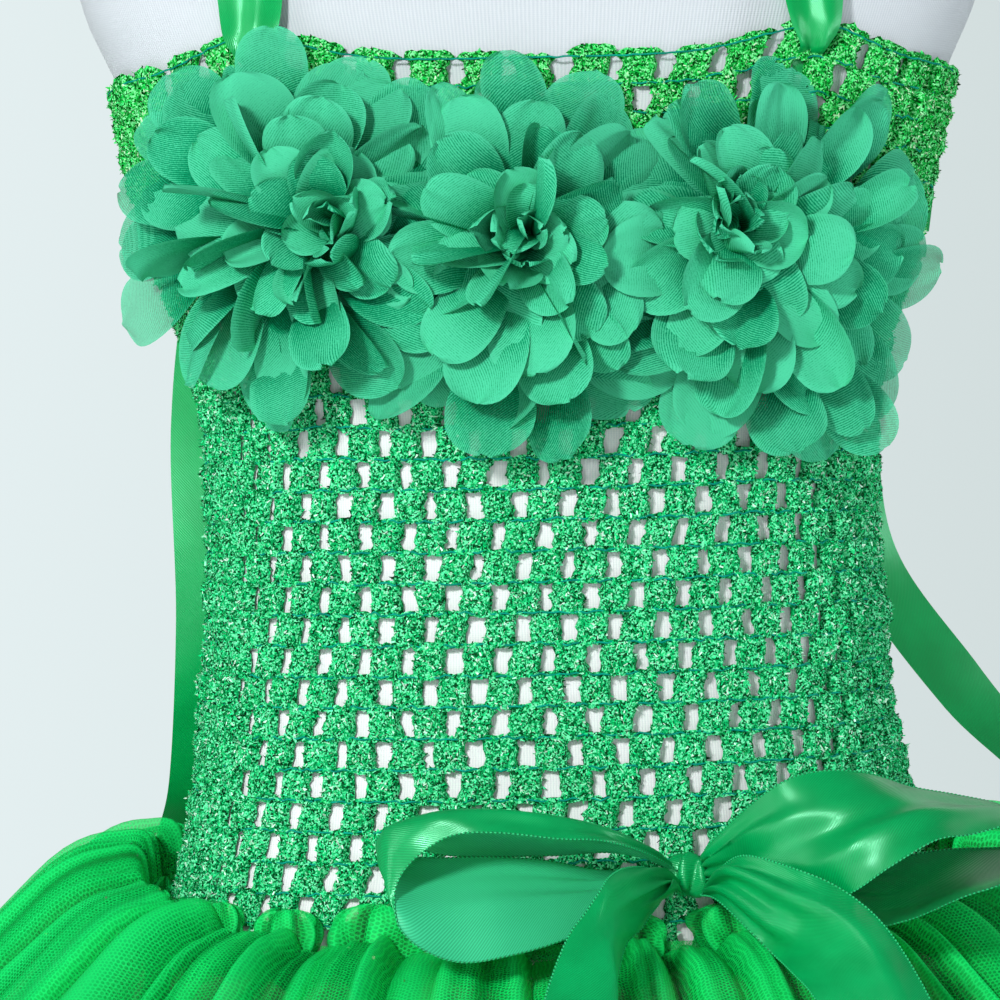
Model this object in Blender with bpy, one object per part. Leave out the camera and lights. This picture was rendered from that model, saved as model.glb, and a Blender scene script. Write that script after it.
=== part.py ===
# Fairy costume dress on a child's dress form: a crochet tube top with ribbon straps, three chiffon flowers,
# a satin bow and a skirt of knotted tulle strips. Metres, +Z up, the front faces -Y, the base is on Z = 0.
import math
from collections import namedtuple

import bmesh
import bpy
import numpy as np

# Driving sizes of the dress
WAIST_Z = 0.480  # lower edge of the crochet tube above the floor
ROW_PITCH = 0.0085  # one crochet row
ROWS = 29
TUBE_LENGTH = ROWS * ROW_PITCH
FORM_GAP = 0.0008  # between the form and the cloth on it
GROOVE_DEPTH = 0.0022  # crochet wall at the thread line between two rows
CREST_DEPTH = 0.0034  # crochet wall at the middle of a row
SEAT_GAP = 0.0004  # between pieces that lie on each other
CLOTH = 0.0010  # ribbon and petal wall
AROUND = 28  # corners of a ring round the body
STRAP_X = 0.0755  # strap centre at the top edge
STRAP_LIFT = 0.008  # how far a strap pulls the top edge up
STRAP_PULL_ANGLE = 0.22  # how far round the body from a strap its pull fades out
SIDE_DIP = 0.004  # how far the top edge sinks under the arm
SIDE_DIP_POWER = 8  # keeps that dip to the sides
EDGE_SHIFT_POWER = 4  # keeps the shift of the top edge to the upper rows
STRIPS = 24  # knotted tulle strips round the waist
SKIRT_LIFT = 0.030  # how far the tulle stands up behind the waist
FRONT_LIFT_SHARE = 0.3  # share of that at the front
LIFT_FALL = 0.75  # how fast it falls off towards the front
BOW_X = 0.0366  # waist bow, on the wearer's left
BOW_Z = WAIST_Z + 0.0217
BACK_BOW_Z = WAIST_Z + 0.232
BACK_KNOT_X = 0.079  # the bows that tie the straps to the back edge
BOW_KNOT_SIZE = (0.0095, 0.0110, 0.0110)  # across, out and up
BACK_KNOT_SIZE = (0.0090, 0.0090, 0.0100)

# Sizes of the stand
POLE_RADIUS = 0.012
BASE_RADIUS = 0.140
BASE_HEIGHT = 0.012
BASE_BEVEL = 0.004
BASE_SIDES = 48
POLE_SIDES = 20

FRONT = -math.pi / 2
INNER_SHARES = np.array([0.0, 0.125, 0.25, 0.375, 0.5, 0.625, 0.75, 0.875, 0.94, 1.0])  # rings inside
CROCHET_OUTSIDE = FORM_GAP + CREST_DEPTH
GROOVE_REACH = 0.0003  # how far a round knot sinks between two crochet ribs
HALVINGS = 40  # steps of a search by halving

# The form, by height above the lower edge of the tube; squareness 2 is an ellipse
FormRow = namedtuple("FormRow", "height half_width half_depth squareness")
FORM_ROWS = [
    FormRow(-0.140, 0.0900, 0.0720, 2.2),
    FormRow(-0.130, 0.1010, 0.0810, 2.2),
    FormRow(-0.100, 0.1090, 0.0860, 2.3),
    FormRow(-0.060, 0.1120, 0.0870, 2.3),
    FormRow(-0.025, 0.1115, 0.0860, 2.3),
    FormRow(0.000, 0.1080, 0.0830, 2.3),
    FormRow(0.035, 0.1005, 0.0800, 2.3),
    FormRow(0.063, 0.0970, 0.0765, 2.3),
    FormRow(0.092, 0.0943, 0.0740, 2.3),
    FormRow(0.121, 0.0935, 0.0730, 2.3),
    FormRow(0.145, 0.0942, 0.0732, 2.3),
    FormRow(0.165, 0.0978, 0.0742, 2.3),
    FormRow(0.190, 0.1060, 0.0750, 2.3),
    FormRow(0.217, 0.1135, 0.0735, 2.35),
    FormRow(0.242, 0.1185, 0.0700, 2.4),
    FormRow(0.266, 0.1285, 0.0655, 2.4),
    FormRow(0.282, 0.1310, 0.0615, 2.4),
    FormRow(0.297, 0.1245, 0.0560, 2.3),
    FormRow(0.310, 0.1080, 0.0500, 2.2),
    FormRow(0.322, 0.0850, 0.0455, 2.1),
    FormRow(0.332, 0.0640, 0.0425, 2.0),
    FormRow(0.342, 0.0500, 0.0405, 2.0),
    FormRow(0.354, 0.0440, 0.0400, 2.0),
    FormRow(0.390, 0.0425, 0.0395, 2.0),
    FormRow(0.396, 0.0370, 0.0345, 2.0),
]

ABOVE_TUBE = 0.256  # first ring of the form above the tube's top edge
SHOULDER_CENTRE = 0.235  # height of the point that straps run round, seen from the side
SHOULDER_REACH = 0.2  # past the form in every direction from that point
NECK_FOOT = 0.350  # straps stay below this height

# One tulle strip from its knot to the hem: spread is out from the form, drop is above the tube's edge,
# lift and width are shares of SKIRT_LIFT and of the room for one strip, flute is half a gather's depth.
StripRow = namedtuple("StripRow", "spread drop lift width flute wall")
STRIP_ROWS = [
    StripRow(0.0066, 0.0110, 0.00, 0.26, 0.0, 0.0026),
    StripRow(0.0070, 0.0050, 0.00, 0.34, 0.0, 0.0046),
    StripRow(0.0070, -0.0010, 0.00, 0.30, 0.0, 0.0036),
    StripRow(0.0090, -0.0060, 0.00, 0.28, 0.0, 0.0020),
    StripRow(0.0126, -0.0080, 0.00, 0.32, 0.0, 0.0015),
    StripRow(0.0156, -0.0030, 0.86, 0.40, 0.0004, 0.0015),
    StripRow(0.0230, -0.0040, 0.90, 0.46, 0.0010, 0.0015),
    StripRow(0.0420, -0.0140, 0.90, 0.54, 0.0025, 0.0015),
    StripRow(0.0870, -0.0600, 0.50, 0.57, 0.0045, 0.0015),
    StripRow(0.1250, -0.1650, 0.15, 0.58, 0.0060, 0.0015),
    StripRow(0.1580, -0.3300, 0.00, 0.58, 0.0080, 0.0015),
]
LAYER_STEP = 0.0032  # odd strips lie this far inside the even ones
FULL_TUCK_FLUTE = 0.0025  # a strip is tucked fully in from the row with this flute on
FLUTE_SIGNS = (0, 1, -1, 1, 0)  # gathers across a strip, even at its two edges

# The three flowers: the middle's place, how far the heart lies beside it, and the room on both sides
Flower = namedtuple("Flower", "name across height lead left_limit right_limit radius")
FLOWERS = [
    Flower("left", -0.0690, 0.2005, 0.0110, -0.200, -0.0325, 0.0540),
    Flower("middle", -0.0050, 0.1905, 0.0000, -0.0318, 0.0232, 0.0560),
    Flower("right", 0.0640, 0.1875, -0.0110, 0.0239, 0.200, 0.0565),
]
# Petal rings of a flower from the back to the heart: radius as a share, rise is how far the tips stand out
Tier = namedtuple("Tier", "name petals radius seat rise phase")
TIERS = [
    Tier("back", 9, 1.00, 0.0000, 0.0110, 0.0),
    Tier("middle", 8, 0.78, 0.0018, 0.0180, 0.3),
    Tier("front", 6, 0.54, 0.0037, 0.0225, 0.1),
    Tier("heart", 4, 0.28, 0.0056, 0.0240, 0.5),
]
PETAL_OUTLINE = (0.76, 0.95, 1.00, 0.95)  # reach from one notch to the next
PETAL_LEAN = (-0.0012, 0.0006, 0.0016, 0.0006)  # how far those points stand forward
TIER_SHARES = (0.20, 0.58, 1.00)  # rings of points from a tier's middle to its rim
RISE_POWER = 1.5  # petals lift off slowly and stand up at the rim
LEAST_AHEAD = 0.02  # cosine under which a petal points along the edge of the room and isn't cut
CHEST_BEND = 0.120  # radius on which a flower bends round the chest
LEAD_STEP = 0.14  # extra seat for a petal ring that lies beside the one behind it

# Ribbons: each row is a section's centre from the middle of the knot, its width and the direction from its
# back edge to its front edge. x is to the right, out is away from the front of the tube, z is up.
Section = namedtuple("Section", "x out z width dir_x dir_out dir_z")
BOW_LOOP_LEFT = [
    Section(-0.0052, 0.0012, 0.0018, 0.006, 0.0, 0.99, -0.10),
    Section(-0.0126, 0.0110, 0.0076, 0.014, -0.22, 0.98, 0.02),
    Section(-0.0241, 0.0175, 0.0132, 0.025, -0.08, 0.99, -0.07),
    Section(-0.0366, 0.0200, 0.0163, 0.032, 0.05, 0.99, -0.15),
    Section(-0.0522, 0.0218, 0.0185, 0.038, 0.03, 0.99, -0.12),
    Section(-0.0654, 0.0218, 0.0182, 0.038, 0.10, 0.99, -0.12),
    Section(-0.0746, 0.0225, 0.0150, 0.038, 0.15, 0.98, -0.16),
    Section(-0.0807, 0.0242, 0.0110, 0.038, 0.15, 0.96, -0.24),
    Section(-0.0828, 0.0265, 0.0064, 0.038, 0.15, 0.92, -0.36),
    Section(-0.0817, 0.0284, 0.0011, 0.038, 0.15, 0.87, -0.48),
    Section(-0.0758, 0.0290, -0.0031, 0.038, 0.18, 0.79, -0.59),
    Section(-0.0649, 0.0290, -0.0052, 0.038, 0.13, 0.74, -0.66),
    Section(-0.0521, 0.0288, -0.0045, 0.038, 0.13, 0.78, -0.62),
    Section(-0.0381, 0.0235, -0.0039, 0.032, 0.11, 0.79, -0.60),
    Section(-0.0256, 0.0155, -0.0030, 0.021, 0.18, 0.83, -0.53),
    Section(-0.0129, 0.0065, -0.0017, 0.008, 0.23, 0.86, -0.46),
    Section(-0.0054, 0.0010, -0.0024, 0.006, 0.0, 0.80, -0.60),
]
BOW_LOOP_RIGHT = [
    Section(0.0052, 0.0014, 0.0020, 0.006, 0.30, 0.20, -0.93),
    Section(0.0052, 0.0060, 0.0024, 0.011, 0.26, 0.00, -0.97),
    Section(0.0152, 0.0145, 0.0054, 0.023, 0.30, 0.04, -0.95),
    Section(0.0259, 0.0260, 0.0100, 0.032, 0.23, 0.19, -0.96),
    Section(0.0373, 0.0347, 0.0138, 0.038, 0.16, 0.57, -0.81),
    Section(0.0486, 0.0363, 0.0170, 0.038, 0.10, 0.80, -0.59),
    Section(0.0608, 0.0341, 0.0181, 0.038, 0.08, 0.95, -0.30),
    Section(0.0717, 0.0300, 0.0180, 0.038, 0.01, 1.00, -0.07),
    Section(0.0824, 0.0268, 0.0169, 0.038, -0.07, 0.99, 0.10),
    Section(0.0895, 0.0237, 0.0142, 0.038, -0.11, 0.98, 0.14),
    Section(0.0911, 0.0209, 0.0078, 0.038, -0.11, 0.99, 0.05),
    Section(0.0869, 0.0197, 0.0032, 0.038, -0.12, 0.98, -0.13),
    Section(0.0737, 0.0190, 0.0005, 0.038, -0.20, 0.94, -0.26),
    Section(0.0606, 0.0145, -0.0031, 0.033, -0.28, 0.83, -0.48),
    Section(0.0480, 0.0115, -0.0049, 0.027, -0.27, 0.78, -0.57),
    Section(0.0279, 0.0075, -0.0033, 0.016, -0.23, 0.82, -0.53),
    Section(0.0112, 0.0040, -0.0017, 0.007, 0.13, 0.80, -0.58),
    Section(0.0054, 0.0006, -0.0022, 0.005, 0.0, 0.70, -0.70),
]
BOW_TAIL_LEFT = [
    Section(-0.0032, 0.0032, -0.0041, 0.005, -0.30, 0.70, 0.60),
    Section(-0.0075, 0.0115, 0.0005, 0.010, -0.53, 0.51, 0.67),
    Section(-0.0128, 0.0225, 0.0006, 0.020, -0.48, 0.74, 0.48),
    Section(-0.0162, 0.0300, -0.0012, 0.029, -0.45, 0.82, 0.35),
    Section(-0.0188, 0.0350, -0.0038, 0.033, -0.42, 0.86, 0.30),
    Section(-0.0223, 0.0395, -0.0082, 0.035, -0.43, 0.87, 0.23),
    Section(-0.0271, 0.0465, -0.0134, 0.035, -0.45, 0.88, 0.16),
    Section(-0.0318, 0.0625, -0.0260, 0.033, -0.56, 0.82, 0.12),
    Section(-0.0344, 0.0800, -0.0399, 0.029, -0.65, 0.75, 0.13),
    Section(-0.0403, 0.1045, -0.0717, 0.032, -0.60, 0.79, 0.14),
    Section(-0.0443, 0.1285, -0.1003, 0.025, -0.71, 0.69, 0.14),
]
BOW_TAIL_RIGHT = [
    Section(0.0036, 0.0038, -0.0030, 0.005, 0.50, 0.30, 0.80),
    Section(0.0045, 0.0110, -0.0033, 0.005, 0.77, 0.00, 0.63),
    Section(0.0098, 0.0260, 0.0004, 0.012, 0.58, 0.00, 0.81),
    Section(0.0208, 0.0380, -0.0044, 0.021, 0.59, 0.19, 0.78),
    Section(0.0297, 0.0490, -0.0099, 0.026, 0.73, 0.23, 0.64),
    Section(0.0364, 0.0610, -0.0158, 0.028, 0.89, 0.21, 0.40),
    Section(0.0437, 0.0785, -0.0266, 0.029, 0.97, 0.24, 0.06),
    Section(0.0493, 0.0970, -0.0412, 0.027, 0.96, 0.22, 0.15),
    Section(0.0547, 0.1235, -0.0672, 0.026, 0.95, 0.27, 0.12),
    Section(0.0580, 0.1425, -0.1007, 0.026, 0.98, 0.19, 0.06),
]
# Behind each shoulder, x counts outwards and out is towards the back; z is above the back knot
BACK_LOOP_OUTER = [
    Section(0.0048, 0.0010, 0.0008, 0.006, 0.0, 0.0, 1.0),
    Section(0.0180, 0.0150, -0.0060, 0.020, 0.0, 0.0, 1.0),
    Section(0.0320, 0.0160, -0.0140, 0.025, 0.0, 0.0, 1.0),
    Section(0.0400, 0.0090, -0.0195, 0.025, 0.1, 0.0, 1.0),
    Section(0.0320, 0.0010, -0.0180, 0.025, 0.0, 0.0, 1.0),
    Section(0.0190, -0.0010, -0.0120, 0.018, 0.0, 0.0, 1.0),
    Section(0.0048, -0.0012, -0.0010, 0.006, 0.0, 0.0, 1.0),
]
BACK_LOOP_INNER = [
    Section(-0.0052, 0.0016, 0.0008, 0.006, 0.0, 0.0, 1.0),
    Section(-0.0180, 0.0190, -0.0050, 0.020, 0.0, 0.0, 1.0),
    Section(-0.0330, 0.0240, -0.0130, 0.025, 0.0, 0.0, 1.0),
    Section(-0.0450, 0.0220, -0.0200, 0.025, 0.0, 0.0, 1.0),
    Section(-0.0400, 0.0160, -0.0210, 0.025, 0.0, 0.0, 1.0),
    Section(-0.0250, 0.0100, -0.0150, 0.020, 0.0, 0.0, 1.0),
    Section(-0.0050, -0.0006, -0.0010, 0.006, 0.0, 0.0, 1.0),
]
BACK_TAIL_LEFT = [
    Section(0.0026, 0.0006, -0.0054, 0.0045, 1.0, 0.0, 0.0),
    Section(0.0110, 0.0100, -0.0380, 0.022, 1.0, 0.0, 0.0),
    Section(0.0160, 0.0120, -0.0850, 0.025, 1.0, 0.1, 0.0),
    Section(0.0160, 0.0130, -0.1450, 0.025, 1.0, 0.1, 0.0),
    Section(0.0200, 0.0330, -0.1950, 0.025, 1.0, -0.2, 0.0),
    Section(0.0290, 0.0640, -0.2250, 0.025, 1.0, -0.4, 0.0),
    Section(0.0380, 0.0960, -0.2850, 0.025, 1.0, -0.4, 0.0),
    Section(0.0430, 0.1160, -0.3450, 0.025, 1.0, -0.4, 0.0),
]
BACK_TAIL_RIGHT = [
    Section(0.0026, 0.0006, -0.0054, 0.0045, 1.0, 0.0, 0.0),
    Section(0.0090, 0.0120, -0.0450, 0.022, 1.0, 0.0, 0.0),
    Section(0.0120, 0.0180, -0.0930, 0.025, 0.9, 0.5, 0.1),
    Section(0.0210, 0.0240, -0.1330, 0.025, 0.6, 0.7, 0.3),
    Section(0.0480, 0.0320, -0.1720, 0.025, 0.5, 0.7, 0.4),
    Section(0.0780, 0.0450, -0.2080, 0.025, 0.3, 0.9, 0.3),
    Section(0.1000, 0.0650, -0.2600, 0.025, 0.5, 0.8, 0.2),
    Section(0.1130, 0.0800, -0.3250, 0.025, 0.8, 0.5, 0.1),
]
BACK_TAIL_INNER = [
    Section(-0.0026, 0.0006, -0.0054, 0.0045, 1.0, 0.0, 0.0),
    Section(-0.0110, 0.0200, -0.0400, 0.020, 1.0, 0.1, 0.0),
    Section(-0.0140, 0.0260, -0.1000, 0.025, 1.0, 0.1, 0.0),
    Section(-0.0150, 0.0330, -0.1600, 0.025, 1.0, 0.1, 0.0),
    Section(-0.0160, 0.0560, -0.2000, 0.025, 1.0, -0.1, 0.0),
    Section(-0.0180, 0.0980, -0.2500, 0.025, 1.0, -0.2, 0.0),
    Section(-0.0200, 0.1180, -0.2900, 0.025, 1.0, -0.2, 0.0),
]

# A strap from front to back: tilt up from level at the front, how far out it lies, its middle and width
StrapRow = namedtuple("StrapRow", "tilt out across width")
STRAP_ROWS = [
    StrapRow(4, 0.0052, 0.0750, 0.0135),
    StrapRow(17, 0.0054, 0.0755, 0.0140),
    StrapRow(27, 0.0036, 0.0765, 0.0150),
    StrapRow(42, 0.0024, 0.0785, 0.0175),
    StrapRow(65, 0.0024, 0.0805, 0.0205),
    StrapRow(90, 0.0024, 0.0815, 0.0215),
    StrapRow(115, 0.0024, 0.0805, 0.0205),
    StrapRow(138, 0.0024, 0.0790, 0.0175),
    StrapRow(153, 0.0036, 0.0775, 0.0150),
    StrapRow(163, 0.0054, 0.0765, 0.0140),
    StrapRow(171, 0.0056, 0.0760, 0.0120),
]
STRAP_STEPS = 21  # rows of points along a strap

# Colour, roughness and metallic value of each cloth
MATERIALS = {
    "crochet_yarn": ((0.02, 0.45, 0.12), 0.35, 0.25),
    "chiffon": ((0.03, 0.50, 0.22), 0.70, 0.0),
    "satin_ribbon": ((0.01, 0.52, 0.16), 0.28, 0.0),
    "tulle": ((0.02, 0.60, 0.08), 0.60, 0.0),
    "form_jersey": ((0.85, 0.86, 0.88), 0.80, 0.0),
    "stand_metal": ((0.80, 0.81, 0.82), 0.35, 0.6),
}


def clear_scene():
    for obj in list(bpy.data.objects):
        bpy.data.objects.remove(obj, do_unlink=True)


def make_material(name):
    colour, roughness, metallic = MATERIALS[name]
    material = bpy.data.materials.new(name)
    material.use_nodes = True
    shader = material.node_tree.nodes["Principled BSDF"]
    shader.inputs["Base Color"].default_value = (*colour, 1.0)
    shader.inputs["Roughness"].default_value = roughness
    shader.inputs["Metallic"].default_value = metallic
    return material


def unit(vectors):
    return vectors / np.linalg.norm(vectors, axis=-1, keepdims=True)


def smooth_read(rows, places):
    """Reads every column after the first at these places, on a cubic curve through the rows."""
    table = np.array(rows, float)
    knots, values = table[:, 0], table[:, 1:]
    slopes = np.gradient(values, knots, axis=0)
    places = np.asarray(places, float)
    i = np.clip(np.searchsorted(knots, places, side="right") - 1, 0, len(knots) - 2)
    step = knots[i + 1] - knots[i]
    t = np.clip((places - knots[i]) / step, 0, 1)[..., None]
    step = step[..., None]
    return (
        (1 + 2 * t) * (1 - t) ** 2 * values[i]
        + t * (1 - t) ** 2 * step * slopes[i]
        + t * t * (3 - 2 * t) * values[i + 1]
        + t * t * (t - 1) * step * slopes[i + 1]
    )


def form_points(angle, height, out):
    """Points round the form at a height above the tube's edge, moved out square to its section."""
    half_width, half_depth, square = np.moveaxis(smooth_read(FORM_ROWS, height), -1, 0)
    c, s = np.cos(angle), np.sin(angle)
    x = half_width * np.sign(c) * np.abs(c) ** (2 / square)
    y = half_depth * np.sign(s) * np.abs(s) ** (2 / square)
    nx = np.sign(c) * np.abs(c) ** (2 - 2 / square) / half_width
    ny = np.sign(s) * np.abs(s) ** (2 - 2 / square) / half_depth
    length = np.hypot(nx, ny)
    z = WAIST_Z + np.asarray(height, float) + 0 * angle
    return np.stack([x + out * nx / length, y + out * ny / length, z], axis=-1)


def angle_at(across, height, out, behind=False):
    """The angle round the form where a point this far out lies at x = across."""
    low, high = (0.0, math.pi) if behind else (-math.pi, 0.0)
    for _ in range(HALVINGS):
        middle = (low + high) / 2
        too_far_right = form_points(middle, height, out)[0] > across
        if too_far_right == behind:
            low = middle
        else:
            high = middle
    return (low + high) / 2


def outward(angle, height):
    """Unit direction square to the form, in the ground plane."""
    return unit(form_points(angle, height, 1.0) - form_points(angle, height, 0.0))


def add_mesh(name, points, faces, material, wall=0.0, side=0.0):
    """An object from points and faces; a wall gives an open sheet that thickness, side says to which side."""
    mesh = bpy.data.meshes.new(name)
    mesh.from_pydata([tuple(p) for p in np.asarray(points).reshape(-1, 3)], [], faces)
    obj = bpy.data.objects.new(name, mesh)
    bpy.context.scene.collection.objects.link(obj)
    mesh.materials.append(material)
    edit = bmesh.new()
    edit.from_mesh(mesh)
    if not wall:
        bmesh.ops.recalc_face_normals(edit, faces=edit.faces[:])
    edit.to_mesh(mesh)
    edit.free()
    mesh.shade_smooth()
    mesh.set_sharp_from_angle(angle=math.radians(50))
    if wall:
        solidify = obj.modifiers.new("Wall", "SOLIDIFY")
        solidify.thickness = wall
        solidify.offset = side
    return obj


def grid_faces(rows, columns, closed_rows=False, closed_columns=False):
    """Quads of a grid of points, stored row by row."""
    faces = []
    for r in range(rows if closed_rows else rows - 1):
        for c in range(columns if closed_columns else columns - 1):
            r2, c2 = (r + 1) % rows, (c + 1) % columns
            faces.append((r * columns + c, r * columns + c2, r2 * columns + c2, r2 * columns + c))
    return faces


def add_sheet(name, grid, material, wall=CLOTH, side=0.0):
    rows, columns = grid.shape[:2]
    return add_mesh(name, grid, grid_faces(rows, columns), material, wall, side)


def top_edge_shift(angle):
    """How far the top edge stands above or below level at each angle round the body."""
    lift = 0.0
    for behind in (False, True):
        for across in (-STRAP_X, STRAP_X):
            strap = angle_at(across, TUBE_LENGTH, 0.0, behind)
            apart = np.angle(np.exp(1j * (angle - strap)))
            lift = lift + STRAP_LIFT * np.exp(-((apart / STRAP_PULL_ANGLE) ** 2))
    return lift - SIDE_DIP * np.cos(angle) ** SIDE_DIP_POWER


def tube_points(angle, share, out):
    """Points of the crochet tube, share 0 at its lower edge and 1 at its top edge."""
    height = share * TUBE_LENGTH + top_edge_shift(angle) * share**EDGE_SHIFT_POWER
    return form_points(angle, height, out)


def build_crochet_tube(material):
    """The tube: one raised rib for each crochet row outside, a plain wall inside."""
    angles = np.linspace(0, 2 * math.pi, AROUND, endpoint=False)
    rings = []
    for half_row in range(2 * ROWS + 1):
        depth = CREST_DEPTH if half_row % 2 else GROOVE_DEPTH
        rings.append(tube_points(angles, np.full(AROUND, half_row / (2 * ROWS)), FORM_GAP + depth))
    for share in INNER_SHARES[::-1]:
        rings.append(tube_points(angles, np.full(AROUND, share), FORM_GAP))
    faces = grid_faces(len(rings), AROUND, closed_rows=True, closed_columns=True)
    add_mesh("crochet_tube", np.array(rings), faces, material)


def add_lofted(name, rings, material):
    """A closed body through rings, with a flat face at each end."""
    count, around = rings.shape[:2]
    faces = grid_faces(count, around, closed_columns=True)
    faces.append(tuple(range(around))[::-1])
    faces.append(tuple(range((count - 1) * around, count * around)))
    return add_mesh(name, rings, faces, material)


def build_form(material):
    """The torso: its rings lie level with the tube's inner rings where the tube covers it."""
    heights = [row.height for row in FORM_ROWS if row.height < 0]
    heights += list(INNER_SHARES * TUBE_LENGTH)
    heights += [ABOVE_TUBE] + [row.height for row in FORM_ROWS if row.height > ABOVE_TUBE]
    angles = np.linspace(0, 2 * math.pi, AROUND, endpoint=False)
    rings = [form_points(angles, np.full(AROUND, height), 0.0) for height in heights]
    add_lofted("form_torso", np.array(rings), material)


def build_stand(material):
    """A pole from the torso's flat underside to a round plate on the floor."""
    edit = bmesh.new()
    bmesh.ops.create_cone(
        edit, cap_ends=True, segments=BASE_SIDES, radius1=BASE_RADIUS, radius2=BASE_RADIUS, depth=BASE_HEIGHT
    )
    bmesh.ops.translate(edit, verts=edit.verts, vec=(0, 0, BASE_HEIGHT / 2))
    top_edges = [e for e in edit.edges if all(v.co.z > BASE_HEIGHT / 2 for v in e.verts)]
    bmesh.ops.bevel(edit, geom=top_edges, offset=BASE_BEVEL, segments=2, affect="EDGES")
    finish_bmesh("stand_base", edit, material)

    pole_top = WAIST_Z + FORM_ROWS[0].height - SEAT_GAP
    pole_foot = BASE_HEIGHT + SEAT_GAP
    edit = bmesh.new()
    length = pole_top - pole_foot
    bmesh.ops.create_cone(
        edit, cap_ends=True, segments=POLE_SIDES, radius1=POLE_RADIUS, radius2=POLE_RADIUS, depth=length
    )
    bmesh.ops.translate(edit, verts=edit.verts, vec=(0, 0, (pole_top + pole_foot) / 2))
    finish_bmesh("stand_pole", edit, material)


def finish_bmesh(name, edit, material):
    mesh = bpy.data.meshes.new(name)
    edit.to_mesh(mesh)
    edit.free()
    mesh.materials.append(material)
    mesh.shade_smooth()
    mesh.set_sharp_from_angle(angle=math.radians(40))
    bpy.context.scene.collection.objects.link(bpy.data.objects.new(name, mesh))


def lift_share(angle):
    """How high the tulle puffs up: least at the front of the body, full at its sides and back."""
    return np.clip(1.0 + LIFT_FALL * np.sin(angle), FRONT_LIFT_SHARE, 1.0)


def sheet_normals(grid):
    """Unit directions square to a grid of points, halfway between the steps before and after each point."""
    steps = unit(np.diff(grid, axis=0))
    along = np.concatenate([steps[:1], steps]) + np.concatenate([steps, steps[-1:]])
    across = np.gradient(grid, axis=1)
    return unit(np.cross(along, across))


def add_thick_sheet(name, back, front, material):
    """A closed body between two grids of points."""
    rows, columns = back.shape[:2]
    count = rows * columns
    faces = grid_faces(rows, columns)
    faces += [tuple(count + i for i in reversed(face)) for face in faces]
    index = np.arange(count).reshape(rows, columns)
    rim = [*index[0], *index[1:, -1], *index[-1, -2::-1], *index[-2:0:-1, 0]]
    for here, there in zip(rim, rim[1:] + rim[:1], strict=True):
        faces.append((there, here, here + count, there + count))
    return add_mesh(name, np.concatenate([back, front]), faces, material)


def build_skirt(material):
    """Knotted strips round the waist, odd ones tucked under the even ones at their edges."""
    spacing = 2 * math.pi / STRIPS
    signs = np.array(FLUTE_SIGNS, float)
    across = np.linspace(-1, 1, len(FLUTE_SIGNS))
    wall = np.array([row.wall for row in STRIP_ROWS])[:, None, None]
    for number in range(STRIPS):
        inner = number % 2
        centre = FRONT + (number + 0.5) * spacing
        grid, push = [], []
        for row in STRIP_ROWS:
            angle = centre + across * row.width * spacing
            height = np.full(angle.shape, max(row.drop, 0.0))
            points = form_points(angle, height, row.spread)
            points[:, 2] = WAIST_Z + row.drop + row.lift * SKIRT_LIFT * lift_share(angle)
            grid.append(points)
            tuck = LAYER_STEP * inner * min(1.0, row.flute / FULL_TUCK_FLUTE)
            push.append(row.flute * signs * (-1 if inner else 1) - tuck)
        grid = np.array(grid)
        grid += np.array(push)[:, :, None] * sheet_normals(grid)
        normals = sheet_normals(grid)
        name = f"tulle_strip_{number + 1:02d}"
        add_thick_sheet(name, grid - normals * wall / 2, grid + normals * wall / 2, material)


def flower_frame(flower):
    """Origin on the crochet, and the directions across, up and out of a flower."""
    angle = angle_at(flower.across, flower.height, CROCHET_OUTSIDE)
    out = outward(angle, flower.height)
    origin = form_points(angle, flower.height, CROCHET_OUTSIDE)
    up = np.array([0.0, 0.0, 1.0])
    return origin, np.cross(up, out), up, out


def build_tier(flower, frame, tier, material):
    """One ring of joined petals, cut short where it meets the next flower."""
    origin, across, up, out = frame
    steps = tier.petals * len(PETAL_OUTLINE)
    turn = 2 * math.pi * (np.arange(steps) / steps + tier.phase / tier.petals)
    lead = flower.lead * (1 - tier.radius)
    base = 2 * SEAT_GAP + CLOTH / 2 + tier.seat + LEAD_STEP * abs(lead)
    reach = flower.radius * tier.radius * np.tile(PETAL_OUTLINE, tier.petals)
    ahead = np.cos(turn) * across[0]
    centre_x = origin[0] + lead * across[0]
    room = np.where(ahead > 0, flower.right_limit - centre_x, centre_x - flower.left_limit)
    reach = np.minimum(reach, room / np.maximum(np.abs(ahead), LEAST_AHEAD))
    lean = np.tile(PETAL_LEAN, tier.petals)
    bend = lead**2 / (2 * CHEST_BEND)
    points = [origin + across * lead + out * (base - bend)]
    for share in TIER_SHARES:
        u = lead + share * reach * np.cos(turn)
        v = share * reach * np.sin(turn)
        climb = (share - TIER_SHARES[0]) / (TIER_SHARES[-1] - TIER_SHARES[0])
        rise = tier.rise * climb**RISE_POWER + lean * share**2
        stand = base + rise - u**2 / (2 * CHEST_BEND)
        points.extend(origin + np.outer(u, across) + np.outer(v, up) + np.outer(stand, out))
    faces = [(0, 1 + k, 1 + (k + 1) % steps) for k in range(steps)]
    ring_faces = grid_faces(len(TIER_SHARES), steps, closed_columns=True)
    faces += [tuple(1 + i for i in (f[0], f[3], f[2], f[1])) for f in ring_faces]
    add_mesh(f"flower_{flower.name}_{tier.name}", points, faces, material, CLOTH)


def build_flowers(material):
    for flower in FLOWERS:
        frame = flower_frame(flower)
        for tier in TIERS:
            build_tier(flower, frame, tier, material)


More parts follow.
